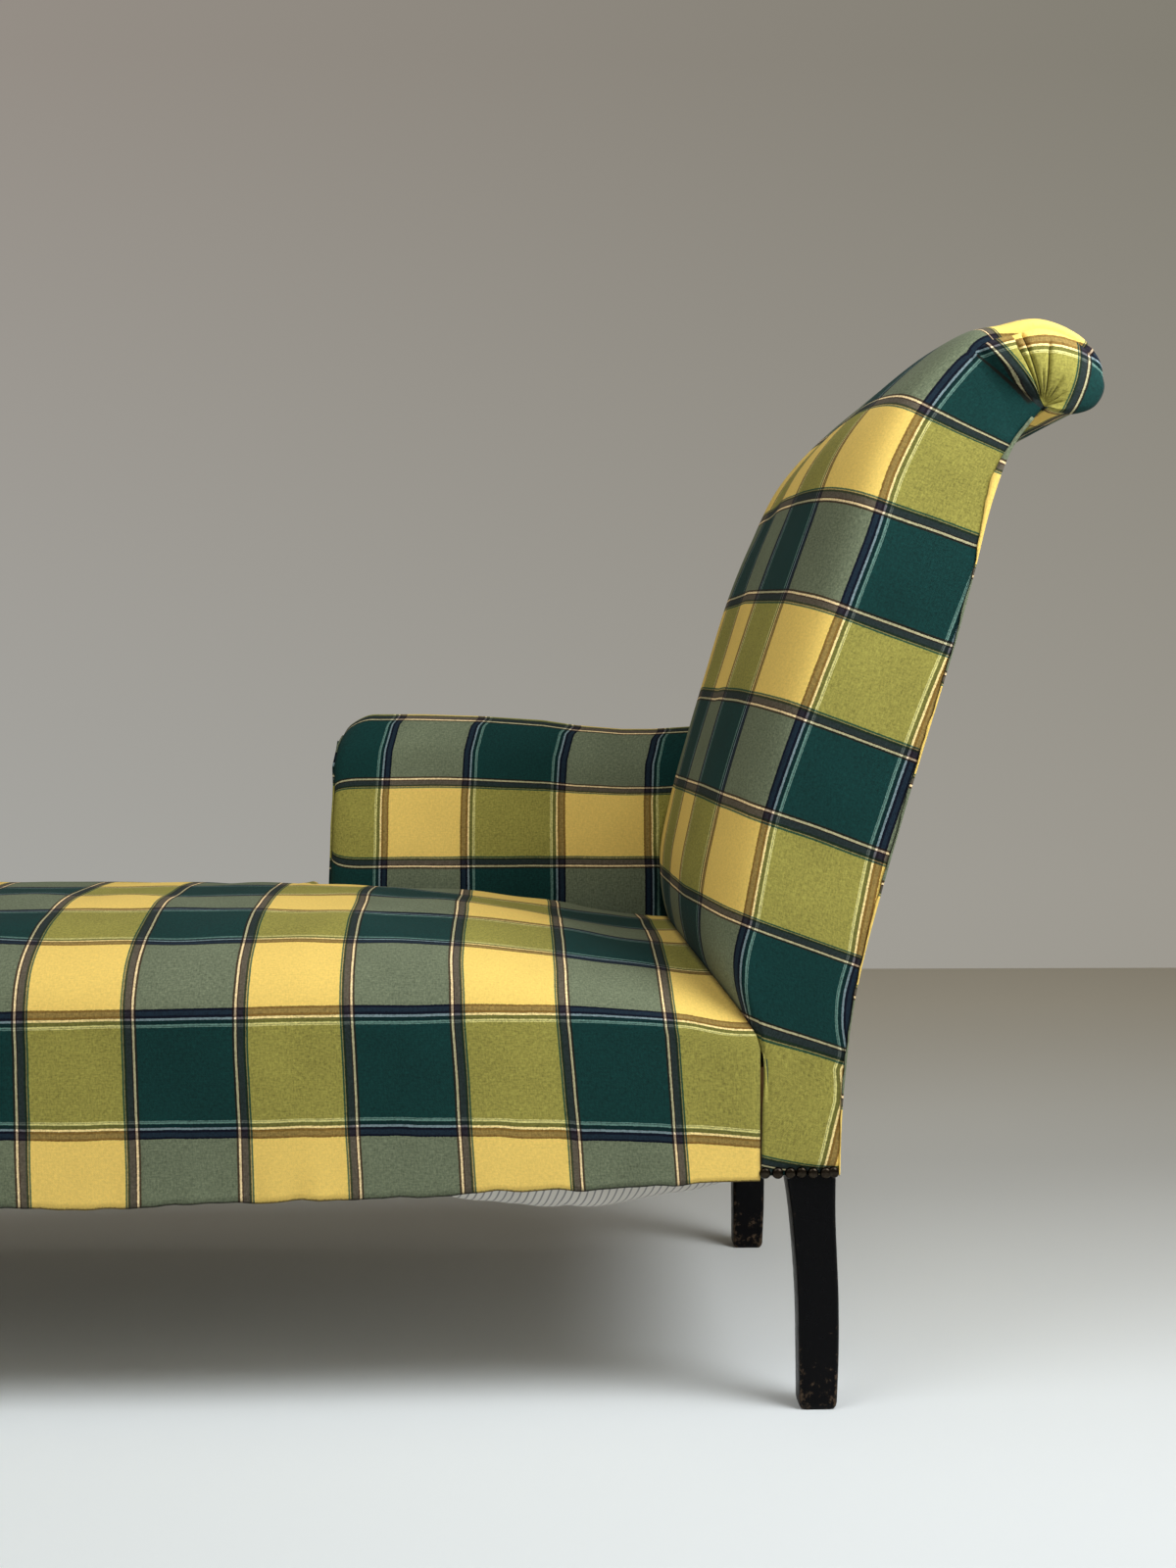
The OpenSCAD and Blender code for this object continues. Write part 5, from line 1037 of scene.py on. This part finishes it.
# The studio: a pale floor that meets a warm grey wall, with two large soft lamps high on the right and
# the left, in front of the open side, and a smaller one beside the scroll. The camera stands square to the
# open long side.
wall_y, wall_height, reach = 3.15, 9, 40
corners = [(-reach, -reach, 0), (reach, -reach, 0), (reach, wall_y, 0), (-reach, wall_y, 0),
           (-reach, wall_y, wall_height), (reach, wall_y, wall_height)]
room_mesh = bpy.data.meshes.new("room")
room_mesh.from_pydata(corners, [], [(0, 1, 2, 3), (3, 2, 5, 4)])
room = bpy.data.objects.new("room", room_mesh)
bpy.context.scene.collection.objects.link(room)
# Painted shade on the floor: its colour is darker towards the right and from the couch's near side back under it,
# where the couch's shadow lies, and lighter again far behind, standing in for the lamps' falloff
floor_paint, tree, surface = new_finish("pale_floor_painted_shade")
place = add(tree, "TexCoord", out="Object")
split = add(tree, "SeparateXYZ", {"Vector": place}).node
floor_painted_shade_right = add(tree, "MapRange", {"Value": split.outputs["X"], "From Min": -0.3, "From Max": 1.0})
floor_painted_shade_under = add(tree, "MapRange", {"Value": split.outputs["Y"], "From Min": -0.3, "From Max": 0.8})
floor_painted_light_far = add(tree, "MapRange", {"Value": split.outputs["Y"], "From Min": 0.8, "From Max": 2.5})
colour = add(tree, "Mix", {"Factor": floor_painted_shade_right, "A": from_hex("f4f9fa"), "B": from_hex("dcdfdf")}, **in_colour)
colour = add(tree, "Mix", {"Factor": floor_painted_shade_under, "A": colour, "B": from_hex("cbcac4")}, **in_colour)
colour = add(tree, "Mix", {"Factor": floor_painted_light_far, "A": colour, "B": from_hex("e0dacb")}, **in_colour)
shader = add(tree, "BsdfPrincipled", {"Base Color": colour, "Roughness": 0.8, "Specular IOR Level": 0.2})
tree.links.new(shader, surface.inputs["Surface"])
room_mesh.materials.append(floor_paint)

# Painted light on the wall: camera rays see it glow in a colour painted darker towards the top and towards the right,
# in place of lamp light; other rays see a plain grey
wall_paint, tree, surface = new_finish("grey_wall_painted_glow")
place = add(tree, "TexCoord", out="Object")
split = add(tree, "SeparateXYZ", {"Vector": place}).node
rise = add(tree, "MapRange", {"Value": split.outputs["Z"], "From Min": 0.2, "From Max": 2.1})
turn = add(tree, "MapRange", {"Value": split.outputs["X"], "From Min": -0.9, "From Max": 1.9})
wall_painted_shade_left = add(tree, "Mix", {"Factor": rise, "A": from_hex("a7a6a1"), "B": from_hex("958e86")}, **in_colour)
wall_painted_shade_right = add(tree, "Mix", {"Factor": rise, "A": from_hex("9d9990"), "B": from_hex("837f74")}, **in_colour)
colour = add(tree, "Mix", {"Factor": turn, "A": wall_painted_shade_left, "B": wall_painted_shade_right}, **in_colour)
wall_painted_glow = add(tree, "Emission", {"Color": colour})
shader = add(tree, "BsdfPrincipled", {"Base Color": from_hex("b4b0a6"), "Roughness": 0.9, "Specular IOR Level": 0.2})
seen = add(tree, "LightPath", out="Is Camera Ray")
mix = add(tree, "MixShader", {"Fac": seen, 1: shader, 2: wall_painted_glow})
tree.links.new(mix, surface.inputs["Surface"])
room_mesh.materials.append(wall_paint)
room_mesh.polygons[1].material_index = 1

world = bpy.data.worlds.new("room")
bpy.context.scene.world = world
world.use_nodes = True
world.node_tree.nodes["Background"].inputs["Color"].default_value = from_hex("e4dccf")
world.node_tree.nodes["Background"].inputs["Strength"].default_value = 0.34
lamps = (("key", (1.5, -0.9, 2.0), 1.6, 23.0, (0.2, 0.0, 0.3)),
         ("fill", (-0.8, -1.4, 2.5), 1.6, 20.0, (0.2, 0.0, 0.3)),
         ("near", (1.4, -0.9, 1.35), 0.9, 14.5, (0.75, 0.0, 0.75)))
for name, spot, size, power, aim in lamps:
    lamp = bpy.data.lights.new(name, "AREA")
    lamp.shape = "DISK"
    lamp.size = size
    lamp.energy = power
    lamp.color = from_hex("f7fbff")[:3]
    holder = bpy.data.objects.new(name, lamp)
    heading = np.array(aim) - np.array(spot)
    heading = heading / np.linalg.norm(heading)
    holder.location = spot
    pitch, yaw = np.arccos(-heading[2]), np.arctan2(heading[1], heading[0]) - np.pi / 2
    holder.rotation_euler = (float(pitch), 0.0, float(yaw))
    bpy.context.scene.collection.objects.link(holder)

camera_data = bpy.data.cameras.new("camera")
camera_data.sensor_width = 36
camera_data.lens = 54.09
camera = bpy.data.objects.new("camera", camera_data)
camera.location = (0.3212, -2.2996, 0.585)
camera.rotation_euler = (float(np.radians(90 - 1.62)), 0.0, float(np.radians(-1.72)))
bpy.context.scene.collection.objects.link(camera)
bpy.context.scene.camera = camera
bpy.context.scene.view_settings.view_transform = "Standard"
